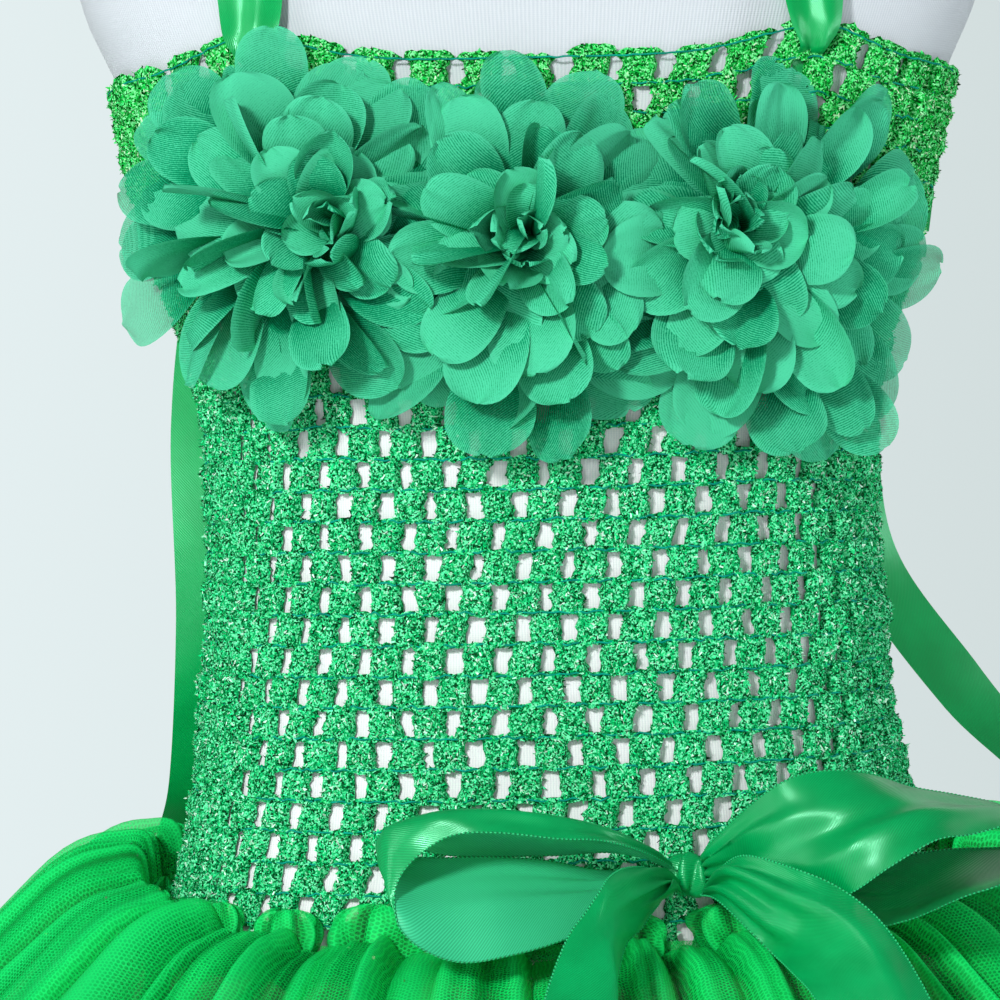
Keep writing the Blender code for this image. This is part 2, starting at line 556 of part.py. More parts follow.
def ribbon_grid(sections, origin, across, up, out, steps, columns=3):
    """A strip of cloth through the sections: steps along it, columns from its back edge to its front edge."""
    table = np.array(sections, float)
    places = np.arange(len(table))
    wanted = np.linspace(0, len(table) - 1, steps)
    values = smooth_read(np.column_stack([places, table]), wanted)
    frame = np.array([across, out, up])
    centre = origin + values[:, :3] @ frame
    direction = unit(values[:, 4:7] @ frame)
    side = np.linspace(-0.5, 0.5, columns)[None, :, None]
    return centre[:, None, :] + side * (values[:, 3, None] * direction)[:, None, :]


def add_knot(name, centre, size, material):
    """A small tied knot, a rounded block."""
    edit = bmesh.new()
    bmesh.ops.create_uvsphere(edit, u_segments=12, v_segments=8, radius=0.5)
    for vert in edit.verts:
        vert.co.x *= size[0]
        vert.co.y *= size[1]
        vert.co.z *= size[2]
    bmesh.ops.translate(edit, verts=edit.verts, vec=centre)
    finish_bmesh(name, edit, material)


def build_waist_bow(material):
    """The bow tied through the crochet just above the skirt."""
    height = BOW_Z - WAIST_Z
    angle = angle_at(BOW_X, height, CROCHET_OUTSIDE)
    seat = form_points(angle, height, CROCHET_OUTSIDE + SEAT_GAP)
    knot = seat + outward(angle, height) * (BOW_KNOT_SIZE[1] / 2 - GROOVE_REACH)
    add_knot("bow_knot", knot, BOW_KNOT_SIZE, material)
    axes = (np.array([1.0, 0, 0]), np.array([0, 0, 1.0]), np.array([0, -1.0, 0]))
    for name, sections, steps in (
        ("bow_loop_left", BOW_LOOP_LEFT, 17),
        ("bow_loop_right", BOW_LOOP_RIGHT, 17),
        ("bow_tail_left", BOW_TAIL_LEFT, 10),
        ("bow_tail_right", BOW_TAIL_RIGHT, 10),
    ):
        add_sheet(name, ribbon_grid(sections, knot, *axes, steps), material)


def inside_form(x, y, z):
    """Under 1 inside the form, over 1 outside."""
    half_width, half_depth, square = smooth_read(FORM_ROWS, z - WAIST_Z)
    return abs(x / half_width) ** square + abs(y / half_depth) ** square


def shoulder_point(x, tilt, out):
    """The point over the shoulder at this x, tilt degrees up from the front, moved out from the form."""
    centre_z = WAIST_Z + SHOULDER_CENTRE
    direction = np.array([0.0, -math.cos(math.radians(tilt)), math.sin(math.radians(tilt))])
    near, far = 0.0, SHOULDER_REACH
    for _ in range(HALVINGS):
        middle = (near + far) / 2
        point = np.array([x, 0, centre_z]) + middle * direction
        if point[2] < WAIST_Z + NECK_FOOT and inside_form(*point) < 1:
            near = middle
        else:
            far = middle
    point = np.array([x, 0, centre_z]) + near * direction
    step = 0.0005
    slope = np.array(
        [inside_form(*(point + d)) - inside_form(*(point - d)) for d in np.eye(3) * step]
    )
    return point + out * unit(slope)


def build_strap(name, hand, material):
    """A ribbon over one shoulder, from the front edge of the tube to its back edge."""
    table = np.array(STRAP_ROWS, float)
    places = np.arange(len(table))
    values = smooth_read(np.column_stack([places, table]), np.linspace(0, len(table) - 1, STRAP_STEPS))
    grid = []
    for tilt, out, across, width in values:
        grid.append([shoulder_point(hand * (across + side * width), tilt, out) for side in (-0.5, 0.0, 0.5)])
    add_sheet(name, np.array(grid), material, CLOTH, float(hand))


def build_back_bow(name, hand, outer_tail, material):
    """The bow that ties a strap to the back edge of the tube."""
    height = BACK_BOW_Z - WAIST_Z
    angle = angle_at(hand * BACK_KNOT_X, height, CROCHET_OUTSIDE, behind=True)
    out = outward(angle, height)
    seat = form_points(angle, height, CROCHET_OUTSIDE + SEAT_GAP)
    knot = seat + out * BACK_KNOT_SIZE[1] / 2
    add_knot(f"back_knot_{name}", knot, BACK_KNOT_SIZE, material)
    axes = (np.array([hand, 0, 0]), np.array([0, 0, 1.0]), np.array([0, 1.0, 0]))
    for part, sections, steps in (
        ("loop_outer", BACK_LOOP_OUTER, 11),
        ("loop_inner", BACK_LOOP_INNER, 11),
        ("tail_outer", outer_tail, 12),
        ("tail_inner", BACK_TAIL_INNER, 10),
    ):
        grid = ribbon_grid(sections, knot, *axes, steps, columns=2)
        add_sheet(f"back_{part}_{name}", grid, material)


def main():
    clear_scene()
    cloth = {name: make_material(name) for name in MATERIALS}
    build_form(cloth["form_jersey"])
    build_stand(cloth["stand_metal"])
    build_crochet_tube(cloth["crochet_yarn"])
    build_skirt(cloth["tulle"])
    build_flowers(cloth["chiffon"])
    build_waist_bow(cloth["satin_ribbon"])
    build_strap("strap_left", -1, cloth["satin_ribbon"])
    build_strap("strap_right", 1, cloth["satin_ribbon"])
    build_back_bow("left", -1, BACK_TAIL_LEFT, cloth["satin_ribbon"])
    build_back_bow("right", 1, BACK_TAIL_RIGHT, cloth["satin_ribbon"])


main()
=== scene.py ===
# Fairy dress on a child's form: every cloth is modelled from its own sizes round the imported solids.
import math

import bpy
import numpy as np
from mathutils import Matrix, Vector


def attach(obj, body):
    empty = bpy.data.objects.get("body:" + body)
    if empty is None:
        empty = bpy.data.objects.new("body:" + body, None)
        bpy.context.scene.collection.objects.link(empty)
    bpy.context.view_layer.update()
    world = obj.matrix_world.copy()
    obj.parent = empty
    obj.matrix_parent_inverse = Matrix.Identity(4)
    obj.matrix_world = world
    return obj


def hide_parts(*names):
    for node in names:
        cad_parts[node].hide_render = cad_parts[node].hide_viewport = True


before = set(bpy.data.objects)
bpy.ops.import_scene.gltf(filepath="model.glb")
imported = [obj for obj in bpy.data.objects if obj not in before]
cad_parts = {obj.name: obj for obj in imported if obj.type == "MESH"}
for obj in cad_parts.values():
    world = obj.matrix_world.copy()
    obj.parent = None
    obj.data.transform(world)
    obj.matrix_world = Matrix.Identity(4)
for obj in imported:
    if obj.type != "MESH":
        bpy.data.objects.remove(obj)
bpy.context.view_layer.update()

print("frame loaded:", len(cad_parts), "nodes")

mm = 0.001
circle = 2 * math.pi
front = -math.pi / 2

# Sizes that the solids were made from, in metres
dress = {
    "waistZ": 0.480,  # lower edge of the crochet tube
    "rowPitch": 0.0085,
    "rows": 29,
    "formGap": 0.0008,
    "crestDepth": 0.0034,
    "seatGap": 0.0004,
    "strapX": 0.0755,
    "strapLift": 0.008,
    "strapPull": 0.22,
    "sideDip": 0.004,
    "skirtLift": 0.030,
    "strips": 24,
}
tubeLength = dress["rows"] * dress["rowPitch"]
crochetOut = dress["formGap"] + dress["crestDepth"]

# The form, in millimetres: height above the tube's lower edge, half width, half depth; then squareness
formRows = np.array([
    (-140, 90, 72, 2.2), (-130, 101, 81, 2.2), (-100, 109, 86, 2.3), (-60, 112, 87, 2.3),
    (-25, 111.5, 86, 2.3),
    (0, 108, 83, 2.3), (35, 100.5, 80, 2.3), (63, 97, 76.5, 2.3), (92, 94.3, 74, 2.3), (121, 93.5, 73, 2.3),
    (145, 94.2, 73.2, 2.3), (165, 97.8, 74.2, 2.3), (190, 106, 75, 2.3), (217, 113.5, 73.5, 2.35),
    (242, 118.5, 70, 2.4), (266, 128.5, 65.5, 2.4), (282, 131, 61.5, 2.4), (297, 124.5, 56, 2.3),
    (310, 108, 50, 2.2), (322, 85, 45.5, 2.1), (332, 64, 42.5, 2), (342, 50, 40.5, 2), (354, 44, 40, 2),
    (390, 42.5, 39.5, 2), (396, 37, 34.5, 2),
]) * (mm, mm, mm, 1)


# Shapes worked out as whole arrays

def unit(vectors):
    return vectors / np.maximum(np.linalg.norm(vectors, axis=-1, keepdims=True), 1e-12)


def together(*parts):
    # arrays side by side, as the coordinates of points
    return np.stack(np.broadcast_arrays(*parts), axis=-1)


def runAlong(points):
    # how far each point of a line lies from its first one, along the line
    return np.concatenate([[0], np.cumsum(np.linalg.norm(np.diff(points, axis=0), axis=1))])


def readCurve(rows, places):
    # a cubic through the rows: each column is read at these places of the first column
    table = np.array(rows, float)
    knots, values = table[:, 0], table[:, 1:]
    slopes = np.gradient(values, knots, axis=0)
    places = np.asarray(places, float)
    i = np.clip(np.searchsorted(knots, places, side="right") - 1, 0, len(knots) - 2)
    step = (knots[i + 1] - knots[i])[..., None]
    t = np.clip((places[..., None] - knots[i][..., None]) / step, 0, 1)
    return (
        (1 + 2 * t) * (1 - t) ** 2 * values[i]
        + t * (1 - t) ** 2 * step * slopes[i]
        + t * t * (3 - 2 * t) * values[i + 1]
        + t * t * (t - 1) * step * slopes[i + 1]
    )


def readRows(rows, steps):
    # the same, with the rows evenly spaced and read at even steps
    return readCurve(np.column_stack([np.arange(len(rows)), rows]), np.linspace(0, len(rows) - 1, steps))


def formPoints(angle, height, out):
    # superellipse |x/a|^n + |y/b|^n = 1 at each height, moved out square to its own line
    angle, height, out = np.broadcast_arrays(angle, height, out)
    halfWidth, halfDepth, square = np.moveaxis(readCurve(formRows, height), -1, 0)
    c, s = np.cos(angle), np.sin(angle)
    x = halfWidth * np.sign(c) * np.abs(c) ** (2 / square)
    y = halfDepth * np.sign(s) * np.abs(s) ** (2 / square)
    nx = np.sign(c) * np.abs(c) ** (2 - 2 / square) / halfWidth
    ny = np.sign(s) * np.abs(s) ** (2 - 2 / square) / halfDepth
    length = np.hypot(nx, ny)
    return together(x + out * nx / length, y + out * ny / length, dress["waistZ"] + height)


def angleAt(across, height, out, behind=False):
    # the angle whose point lies at x = across, found by reading x against angle on one half of the ring
    angles = np.linspace(0, math.pi, 721) if behind else np.linspace(-math.pi, 0, 721)
    x = formPoints(angles, height, out)[:, 0]
    order = np.argsort(x)
    return float(np.interp(across, x[order], angles[order]))


def outward(angle, height):
    return unit(formPoints(angle, height, 1.0) - formPoints(angle, height, 0.0))


def topShift(angle):
    # the top edge: one soft peak at each strap, less a dip at both sides
    lift = 0.0
    for behind in (False, True):
        for across in (-dress["strapX"], dress["strapX"]):
            apart = np.angle(np.exp(1j * (angle - angleAt(across, tubeLength, 0.0, behind))))
            lift = lift + dress["strapLift"] * np.exp(-((apart / dress["strapPull"]) ** 2))
    return lift - dress["sideDip"] * np.cos(angle) ** 8


def tubePoints(angle, share, out):
    return formPoints(angle, share * tubeLength + topShift(angle) * np.clip(share, 0, 2) ** 4, out)


def ringAngles(height, fractions):
    # equal lengths of cloth round the body, counted from the middle of the front towards +X
    angles = np.linspace(front, front + circle, 1441)
    run = runAlong(formPoints(angles, height, crochetOut))
    turns = np.floor(fractions)
    return np.interp((fractions - turns) * run[-1], run, angles) + turns * circle


def gridQuads(rows, columns, closeRows=False, closeColumns=False):
    r = np.arange(rows if closeRows else rows - 1)[:, None]
    c = np.arange(columns if closeColumns else columns - 1)[None, :]
    r2, c2 = (r + 1) % rows, (c + 1) % columns
    return together(r * columns + c, r * columns + c2, r2 * columns + c2, r2 * columns + c).reshape(-1, 4)


def manyQuads(count, rows, columns):
    # the same grid's faces for each of many like shapes in one mesh
    return (np.arange(count)[:, None, None] * rows * columns + gridQuads(rows, columns)[None]).reshape(-1, 4)


def gridNormals(grid):
    return unit(np.cross(np.gradient(grid, axis=-2), np.gradient(grid, axis=-3)))


def tube(path, radius, guide, sides, closed=False):
    # a round tube: rings square to the path, turned by a guide direction
    ahead = np.roll(path, -1, axis=0) - np.roll(path, 1, axis=0) if closed else np.gradient(path, axis=0)
    ahead = unit(ahead)
    side = unit(np.cross(ahead, np.broadcast_to(guide, path.shape)))
    other = np.cross(ahead, side)
    turn = np.linspace(0, circle, sides, endpoint=False)[None, :, None]
    width = np.broadcast_to(radius, path.shape[:1])[:, None, None]
    rings = path[:, None] + width * (np.cos(turn) * side[:, None] + np.sin(turn) * other[:, None])
    return rings.reshape(-1, 3), gridQuads(len(path), sides, closed, True)


class Pile:
    # gathers points, faces, cloth coordinates and a tone for one mesh
    def __init__(self):
        self.points, self.quads, self.uv, self.tone, self.count = [], [], [], [], 0

    def add(self, points, quads, uv=None, tone=0.5):
        points = np.asarray(points, float).reshape(-1, 3)
        self.points.append(points)
        self.quads.append(np.asarray(quads) + self.count)
        self.uv.append(np.zeros((len(points), 2)) if uv is None else np.asarray(uv, float).reshape(-1, 2))
        self.tone.append(np.broadcast_to(np.asarray(tone, float).reshape(-1), (len(points),)))
        self.count += len(points)

    def make(self, name, material, nodes=()):
        quads = np.concatenate(self.quads).astype(np.int32)
        uv = np.concatenate(self.uv).astype(np.float32)
        mesh = bpy.data.meshes.new(name)
        mesh.vertices.add(self.count)
        mesh.vertices.foreach_set("co", np.concatenate(self.points).astype(np.float32).ravel())
        mesh.loops.add(quads.size)
        mesh.loops.foreach_set("vertex_index", quads.ravel())
        mesh.polygons.add(len(quads))
        mesh.polygons.foreach_set("loop_start", np.arange(0, quads.size, 4, dtype=np.int32))
        mesh.update(calc_edges=True)
        mesh.uv_layers.new(name="cloth").data.foreach_set("uv", uv[quads.ravel()].ravel())
        tone = mesh.attributes.new("tone", "FLOAT", "POINT")
        tone.data.foreach_set("value", np.concatenate(self.tone).astype(np.float32))
        mesh.materials.append(material)
        mesh.shade_smooth()
        piece = bpy.data.objects.new(name, mesh)
        bpy.context.scene.collection.objects.link(piece)
        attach(piece, "root")
        if nodes:
            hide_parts(*nodes)
        return piece


def addPiece(name, material, slot, nodes, points, quads, uv=None):
    # a piece of one surface
    pile = Pile()
    pile.add(points, quads, uv)
    return pile.make(name, material, nodes)


# Shader building

class Nodes:
    # short ways to add shader nodes to one tree
    def __init__(self, tree):
        self.tree = tree

    def add(self, kind, inputs=(), **settings):
        made = self.tree.nodes.new("ShaderNode" + kind)
        for key, value in settings.items():
            setattr(made, key, value)
        for key, value in dict(inputs).items():
            if isinstance(value, bpy.types.NodeSocket):
                self.tree.links.new(value, made.inputs[key])
            else:
                made.inputs[key].default_value = value
        return made

    def shared(self, group, **inputs):
        return self.add("Group", inputs, node_tree=group).outputs

    def uneven(self, where, size):
        return self.shared(uneven, Vector=where, Size=size)[0]

    def parts(self, vector):
        return self.add("SeparateXYZ", {0: vector}).outputs

    def math(self, operation, *values):
        return self.add("Math", dict(enumerate(values)), operation=operation).outputs[0]

    def total(self, *parts, start=0.0):
        # a sum of values, each with its weight
        for value, weight in parts:
            start = self.math("MULTIPLY_ADD", value, weight, start)
        return start

    def wave(self, value, pitch):
        return self.math("SINE", self.math("MULTIPLY", value, circle / pitch))

    def fade(self, value, low, high, first=0.0, last=1.0):
        given = {"Value": value, "From Min": low, "From Max": high, "To Min": first, "To Max": last}
        return self.add("MapRange", given).outputs[0]

    def mix(self, share, a, b):
        return self.add("Mix", {0: share, 6: a, 7: b}, data_type="RGBA").outputs[2]

    def ramp(self, value, *stops):
        # each stop is a place and its red, green and blue
        made = self.add("ValToRGB", {0: value})
        elements = made.color_ramp.elements
        while len(elements) < len(stops):
            elements.new(0.5)
        for element, (place, *colour) in zip(elements, stops):
            element.position = place
            element.color = (*colour, 1.0)
        return made.outputs[0]


class Group(Nodes):
    # a shared node group: it takes a Vector and some numbers, and gives values
    def __init__(self, name, **numbers):
        super().__init__(bpy.data.node_groups.new(name, "ShaderNodeTree"))
        self.tree.interface.new_socket("Vector", in_out="INPUT", socket_type="NodeSocketVector")
        for label, value in numbers.items():
            socket = self.tree.interface.new_socket(label, in_out="INPUT", socket_type="NodeSocketFloat")
            socket.default_value = value
        self.given = self.tree.nodes.new("NodeGroupInput").outputs
        self.where = self.given["Vector"]

    def noise(self, scale, detail):
        return self.add("TexNoise", {"Vector": self.where, "Scale": scale, "Detail": detail}).outputs

    def gives(self, **values):
        for label in values:
            self.tree.interface.new_socket(label, in_out="OUTPUT", socket_type="NodeSocketFloat")
        out = self.tree.nodes.new("NodeGroupOutput")
        for label, value in values.items():
            self.tree.links.new(value, out.inputs[label])
        return self.tree


class Look(Nodes):
    # a material whose Principled shader takes these constant inputs
    def __init__(self, name, **sockets):
        self.material = bpy.data.materials.new(name)
        self.material.use_nodes = True
        super().__init__(self.material.node_tree)
        self.shader = self.tree.nodes["Principled BSDF"].inputs
        for key, value in sockets.items():
            self.shader[key.replace("_", " ")].default_value = value

    @property
    def cloth(self):
        return self.add("UVMap", uv_map="cloth").outputs[0]

    @property
    def where(self):
        return self.add("TexCoord").outputs["Object"]

    @property
    def tone(self):
        return self.add("Attribute", attribute_name="tone").outputs["Fac"]

    def link(self, **sockets):
        for key, value in sockets.items():
            self.tree.links.new(value, self.shader[key.replace("_", " ")])

    def bump(self, height, strength, distance):
        made = self.add("Bump", {"Height": height, "Strength": strength, "Distance": distance})
        self.link(Normal=made.outputs[0])


def weaveGroup():
    # a sine across the cloth, slanted, and bent a little by noise
    group = Group("weave", Pitch=0.0005, Slant=0.5, Bend=0.15)
    noise = group.noise(90.0, 2.0)["Fac"]
    uv = group.parts(group.where)
    bend = group.math("MULTIPLY", group.math("SUBTRACT", noise, 0.5), group.given["Bend"])
    slant = group.math("MULTIPLY", uv[1], group.given["Slant"])
    across = group.total((bend, 0.012), (slant, 1.0), start=uv[0])
    turns = group.math("DIVIDE", circle, group.given["Pitch"])
    wave = group.math("SINE", group.math("MULTIPLY", across, turns))
    return group.gives(Lines=group.math("MULTIPLY_ADD", wave, 0.5, 0.5))


def speckleGroup():
    # cells of random brightness, as glitter fibres show from a step away
    group = Group("speckle", Grain=0.0007)
    scale = group.math("DIVIDE", 1.0, group.given["Grain"])
    cells = group.add("TexVoronoi", {"Vector": group.where, "Scale": scale})
    chance = group.add("SeparateColor", {0: cells.outputs["Color"]}).outputs
    value = group.total((chance[0], 0.6), (group.noise(scale, 1.0)["Fac"], 0.4))
    return group.gives(Value=value, Height=chance[1])


def netGroup():
    # a hexagonal net: three cosines at 60 degrees add up to a honeycomb, and the threads are its low lines
    group = Group("net", Cell=0.0011)
    turns = group.math("DIVIDE", circle, group.given["Cell"])
    drift = {0: group.noise(160.0, 1.0)["Color"], 1: (0.0016, 0.0016, 0.0)}
    drift = group.add("VectorMath", drift, operation="MULTIPLY").outputs[0]
    place = group.add("VectorMath", {0: group.where, 1: drift}, operation="ADD").outputs[0]
    waves = 0.0
    for turn in (0, circle / 6, circle / 3):
        direction = {0: place, 1: (math.cos(turn), math.sin(turn), 0.0)}
        along = group.add("VectorMath", direction, operation="DOT_PRODUCT").outputs["Value"]
        waves = group.math("ADD", waves, group.math("COSINE", group.math("MULTIPLY", along, turns)))
    return group.gives(Thread=group.fade(waves, 0.1, -0.7))


def unevenGroup():
    # broad soft variation of a cloth's tone
    group = Group("uneven", Size=0.03)
    return group.gives(Tone=group.noise(group.math("DIVIDE", 1.0, group.given["Size"]), 3.0)["Fac"])


weave, speckle, net, uneven = weaveGroup(), speckleGroup(), netGroup(), unevenGroup()


def jerseyMaterial():
    # fine ribs and stitches; painted shade makes it greyer above the dress, where the lamps' light falls off
    # upwards, and painted light makes it paler behind the dress's gaps, against the crochet's shade there
    look = Look("whiteJersey", Roughness=0.85, Sheen_Weight=0.15)
    uv = look.parts(look.cloth)
    knit = look.total((look.wave(uv[0], 0.00075), 0.35), (look.wave(uv[1], 0.0006), 0.12), start=0.5)
    low = look.ramp(knit, (0.1, 0.84, 0.87, 0.9), (0.9, 0.98, 0.99, 1))
    high = look.ramp(knit, (0.1, 0.56, 0.62, 0.67), (0.9, 0.66, 0.71, 0.75))
    # painted shade: the greyer colour above the dress; painted light: the paler colour behind its gaps
    look.link(Base_Color=look.mix(look.fade(look.parts(look.where)[2], 0.690, 0.725), low, high))
    look.bump(knit, 0.35, 0.0002)
    return look.material


def yellowerAbove(look, cool, warm):
    # from the cool to the warm colour in uneven patches towards the top edge
    where = look.where
    height = look.total((look.uneven(where, 0.018), 0.05), start=look.parts(where)[2])
    return look.mix(look.math("MULTIPLY", look.fade(height, 0.655, 0.730), 0.75), cool, warm)


def yarnMaterial():
    # glitter yarn: dark to mint grains
    look = Look("glitterYarn", Roughness=0.60, Specular_IOR_Level=0.05)
    grain = look.shared(speckle, Vector=look.where, Grain=0.00048)
    cool = look.ramp(
        grain["Value"],
        (0.28, 0, 0.05, 0.01), (0.44, 0, 0.32, 0.08), (0.58, 0.006, 0.64, 0.2), (0.74, 0.2, 1, 0.52))
    warm = look.ramp(
        grain["Value"],
        (0.28, 0, 0.06, 0.004), (0.44, 0.002, 0.38, 0.02), (0.58, 0.02, 0.7, 0.06), (0.74, 0.28, 1, 0.36))
    look.link(Base_Color=yellowerAbove(look, cool, warm))
    look.bump(grain["Height"], 0.9, 0.0004)
    return look.material


def tinselMaterial():
    # each flake's lot, a random tone with painted shade in the dips between clusters, is kept in its cloth
    # coordinates
    look = Look(
        "tinsel", Roughness=0.40, Metallic=0.10, Specular_IOR_Level=0.12, Specular_Tint=(0.4, 1.0, 0.7, 1.0))
    lot = look.parts(look.cloth)[0]
    cool = look.ramp(
        lot, (0.12, 0, 0.03, 0.006), (0.32, 0, 0.38, 0.09), (0.5, 0.006, 0.88, 0.27), (0.68, 0.1, 1, 0.46),
        (0.84, 0.68, 1, 0.82))
    warm = look.ramp(
        lot, (0.12, 0, 0.05, 0), (0.32, 0.002, 0.45, 0.014), (0.5, 0.012, 0.9, 0.08), (0.68, 0.1, 1, 0.24),
        (0.84, 0.62, 1, 0.55))
    look.link(Base_Color=yellowerAbove(look, cool, warm))
    return look.material


def elasticMaterial():
    look = Look("tealElastic", Roughness=0.7, Specular_IOR_Level=0.1)
    tone = look.uneven(look.where, 0.004)
    look.link(Base_Color=look.ramp(tone, (0.3, 0, 0.23, 0.17), (0.7, 0, 0.42, 0.3)))
    return look.material


def chiffonMaterial(name, clear):
    # fine curved lines where the threads of two layers drift past each other, over a soft grain
    look = Look(name, Roughness=0.80, Specular_IOR_Level=0.04)
    lines = look.shared(weave, Vector=look.cloth, Pitch=0.00066, Slant=0.0, Bend=0.10)[0]
    broad, grit = look.uneven(look.where, 0.02), look.uneven(look.where, 0.00045)
    # the tone carries the petals' painted shade at their roots and painted highlight on their rims, over a
    # random tone for each petal
    value = look.total((lines, 0.22), (broad, 0.18), (look.tone, 0.66), (grit, 0.42))
    look.link(
        Base_Color=look.ramp(
            value, (0.29, 0, 0.018, 0.005), (0.57, 0, 0.13, 0.046), (0.81, 0.004, 0.31, 0.138),
            (1, 0.075, 0.6, 0.335)),
        Alpha=look.math("MULTIPLY_ADD", lines, 0.10, clear))
    look.bump(lines, 0.18, 0.0002)
    return look.material


def satinMaterial(name, dark, mid, bright, matt=1.0):
    # satin face outside, and a paler slanted twill on the back of the ribbon where matt is 1
    look = Look(
        name, Specular_IOR_Level=1.0, IOR=1.58, Anisotropic=0.45, Specular_Tint=(0.40, 1.0, 0.68, 1.0))
    uv = look.cloth
    lines = look.shared(weave, Vector=uv, Pitch=0.00082, Slant=0.9, Bend=0.02)[0]
    back = look.math("MULTIPLY", look.add("NewGeometry").outputs["Backfacing"], matt)
    value = look.total((look.uneven(uv, 0.02), 0.5), (lines, 0.22))
    face = look.ramp(value, (0.2, *dark), (0.4, *mid), (0.6, *bright))
    inside = look.ramp(lines, (0.1, 0.022, 0.46, 0.2), (0.9, 0.055, 0.68, 0.33))
    look.link(
        Base_Color=look.mix(back, face, inside),
        Roughness=look.math("MULTIPLY_ADD", back, 0.22, 0.29),
        Tangent=look.add("Tangent", direction_type="UV_MAP", uv_map="cloth").outputs[0])
    look.bump(lines, 0.45, 0.00012)
    return look.material


def whipMaterial():
    look = Look("whippedEdge", Roughness=0.5, Specular_IOR_Level=0.3)
    stitch = look.math("MULTIPLY_ADD", look.wave(look.parts(look.cloth)[1], 0.0012), 0.5, 0.5)
    look.link(Base_Color=look.ramp(stitch, (0.2, 0, 0.18, 0.05), (0.8, 0.02, 0.56, 0.2)))
    return look.material


def tulleMaterial():
    # net threads over a thin even veil, with a fine grain where two layers cross;
    # the net shows more in some places than in others
    look = Look("tulle", Roughness=0.60, Specular_IOR_Level=0.12)
    thread = look.shared(net, Vector=look.cloth, Cell=0.0010)[0]
    broad, grit = look.uneven(look.where, 0.03), look.uneven(look.where, 0.0006)
    # the tone carries painted shade: darker in the hollows of the folds, at the strips' sides, on the second
    # layer and in the knots' creases
    value = look.total((broad, 0.20), (look.tone, 0.60), (grit, 0.46), (thread, 0.18))
    patch = look.fade(broad, 0.42, 0.66, 0.05, 0.26)
    look.link(
        Base_Color=look.ramp(value, (0.35, 0, 0.1, 0.014), (0.67, 0, 0.52, 0.082), (1, 0.01, 0.94, 0.2)),
        Alpha=look.math("MULTIPLY_ADD", look.math("SUBTRACT", thread, 0.5), patch, 0.67))
    return look.material


def sparkleMaterial():
    look = Look("sparkle", Roughness=0.12, Metallic=0.9, Specular_IOR_Level=0.8)
    look.link(Base_Color=look.ramp(
        look.parts(look.cloth)[0],
        (0, 0.1, 0.85, 0.55), (0.35, 0.9, 0.95, 0.7), (0.65, 0.35, 0.55, 0.95), (1, 0.95, 0.75, 0.35)))
    return look.material


def paleMaterial(name, size, dark, bright, **sockets):
    # a plain pale finish with a slight unevenness
    look = Look(name, **sockets)
    tone = look.uneven(look.where, size)
    look.link(Base_Color=look.ramp(tone, (0.3, *dark), (0.7, *bright)))
    return look, tone


def standMaterial():
    pale = (0.66, 0.67, 0.68), (0.74, 0.75, 0.76)
    look, tone = paleMaterial("paleMetal", 0.012, *pale, Metallic=0.35, Specular_IOR_Level=0.5)
    look.link(Roughness=look.math("MULTIPLY_ADD", tone, 0.15, 0.28))
    return look.material


jersey, yarn, tinsel, elastic = jerseyMaterial(), yarnMaterial(), tinselMaterial(), elasticMaterial()
chiffon, chiffonThin = chiffonMaterial("chiffon", 0.97), chiffonMaterial("chiffonThin", 0.76)
satin = satinMaterial("satin", (0, 0.28, 0.07), (0, 0.4, 0.105), (0.001, 0.53, 0.15))
satinTwisted = satinMaterial("satinTwisted", (0, 0.26, 0.064), (0, 0.37, 0.096), (0.001, 0.5, 0.14), 0.0)
strapSatin = satinMaterial("strapSatin", (0, 0.33, 0.07), (0, 0.43, 0.098), (0.001, 0.52, 0.125))
whip, tulle, sparkle, paleMetal = whipMaterial(), tulleMaterial(), sparkleMaterial(), standMaterial()
print("materials made")


# Form and stand

torso = {"around": 120, "rings": 112, "capRings": 6}
stand = {"poleRadius": 0.012, "baseRadius": 0.140, "baseHeight": 0.012, "bevel": 0.004, "hole": 0.0005}


def buildTorso():
    # rings of the superellipse from the underside to the neck, closed by shrinking rings at both ends
    caps, rings = torso["capRings"], torso["rings"]
    low, high = formRows[0, 0], formRows[-1, 0]
    heights = np.concatenate([np.full(caps, low), np.linspace(low, high, rings), np.full(caps, high)])
    shrink = np.linspace(0.02, 0.98, caps)
    shrink = np.concatenate([shrink, np.ones(rings), shrink[::-1]])
    angles = np.linspace(0, circle, torso["around"] + 1)
    grid = formPoints(angles[None, :], heights[:, None], 0.0)
    grid[..., :2] *= shrink[:, None, None]
    uv = together(runAlong(grid[len(heights) // 2])[None, :], heights[:, None])
    addPiece("formTorso", jersey, "form_jersey", ["form_torso"], grid, gridQuads(*grid.shape[:2]), uv)


def turned(profile, around):
    # a profile of (radius, height) pairs turned round the Z axis
    radius, height = np.array(profile, float).T[:, :, None]
    angles = np.linspace(0, circle, around, endpoint=False)
    rings = together(radius * np.cos(angles), radius * np.sin(angles), height)
    return rings.reshape(-1, 3), gridQuads(len(profile), around, False, True)


def buildStand():
    radius, height, bevel, hole = (stand[key] for key in ("baseRadius", "baseHeight", "bevel", "hole"))
    corner = np.linspace(0, math.pi / 2, 7)
    edge = [(radius - bevel + bevel * math.cos(a), height - bevel + bevel * math.sin(a)) for a in corner]
    under = [(hole, 0.0), (radius - mm, 0.0), (radius, mm)]
    base = turned([*under, *edge, (0.03, height), (hole, height)], 96)
    addPiece("standBase", paleMetal, "stand_metal", ["stand_base"], *base)
    foot, top = height + dress["seatGap"], dress["waistZ"] + formRows[0, 0] - dress["seatGap"]
    pole = stand["poleRadius"]
    pole = turned([(hole, foot), (pole, foot), (pole, foot + 0.0005), (pole, top), (hole, top)], 48)
    addPiece("standPole", paleMetal, "stand_metal", ["stand_pole"], *pole)


buildTorso()
buildStand()
print("form and stand made")


# Crochet: rows of yarn clusters in a brick layout, with real gaps between them

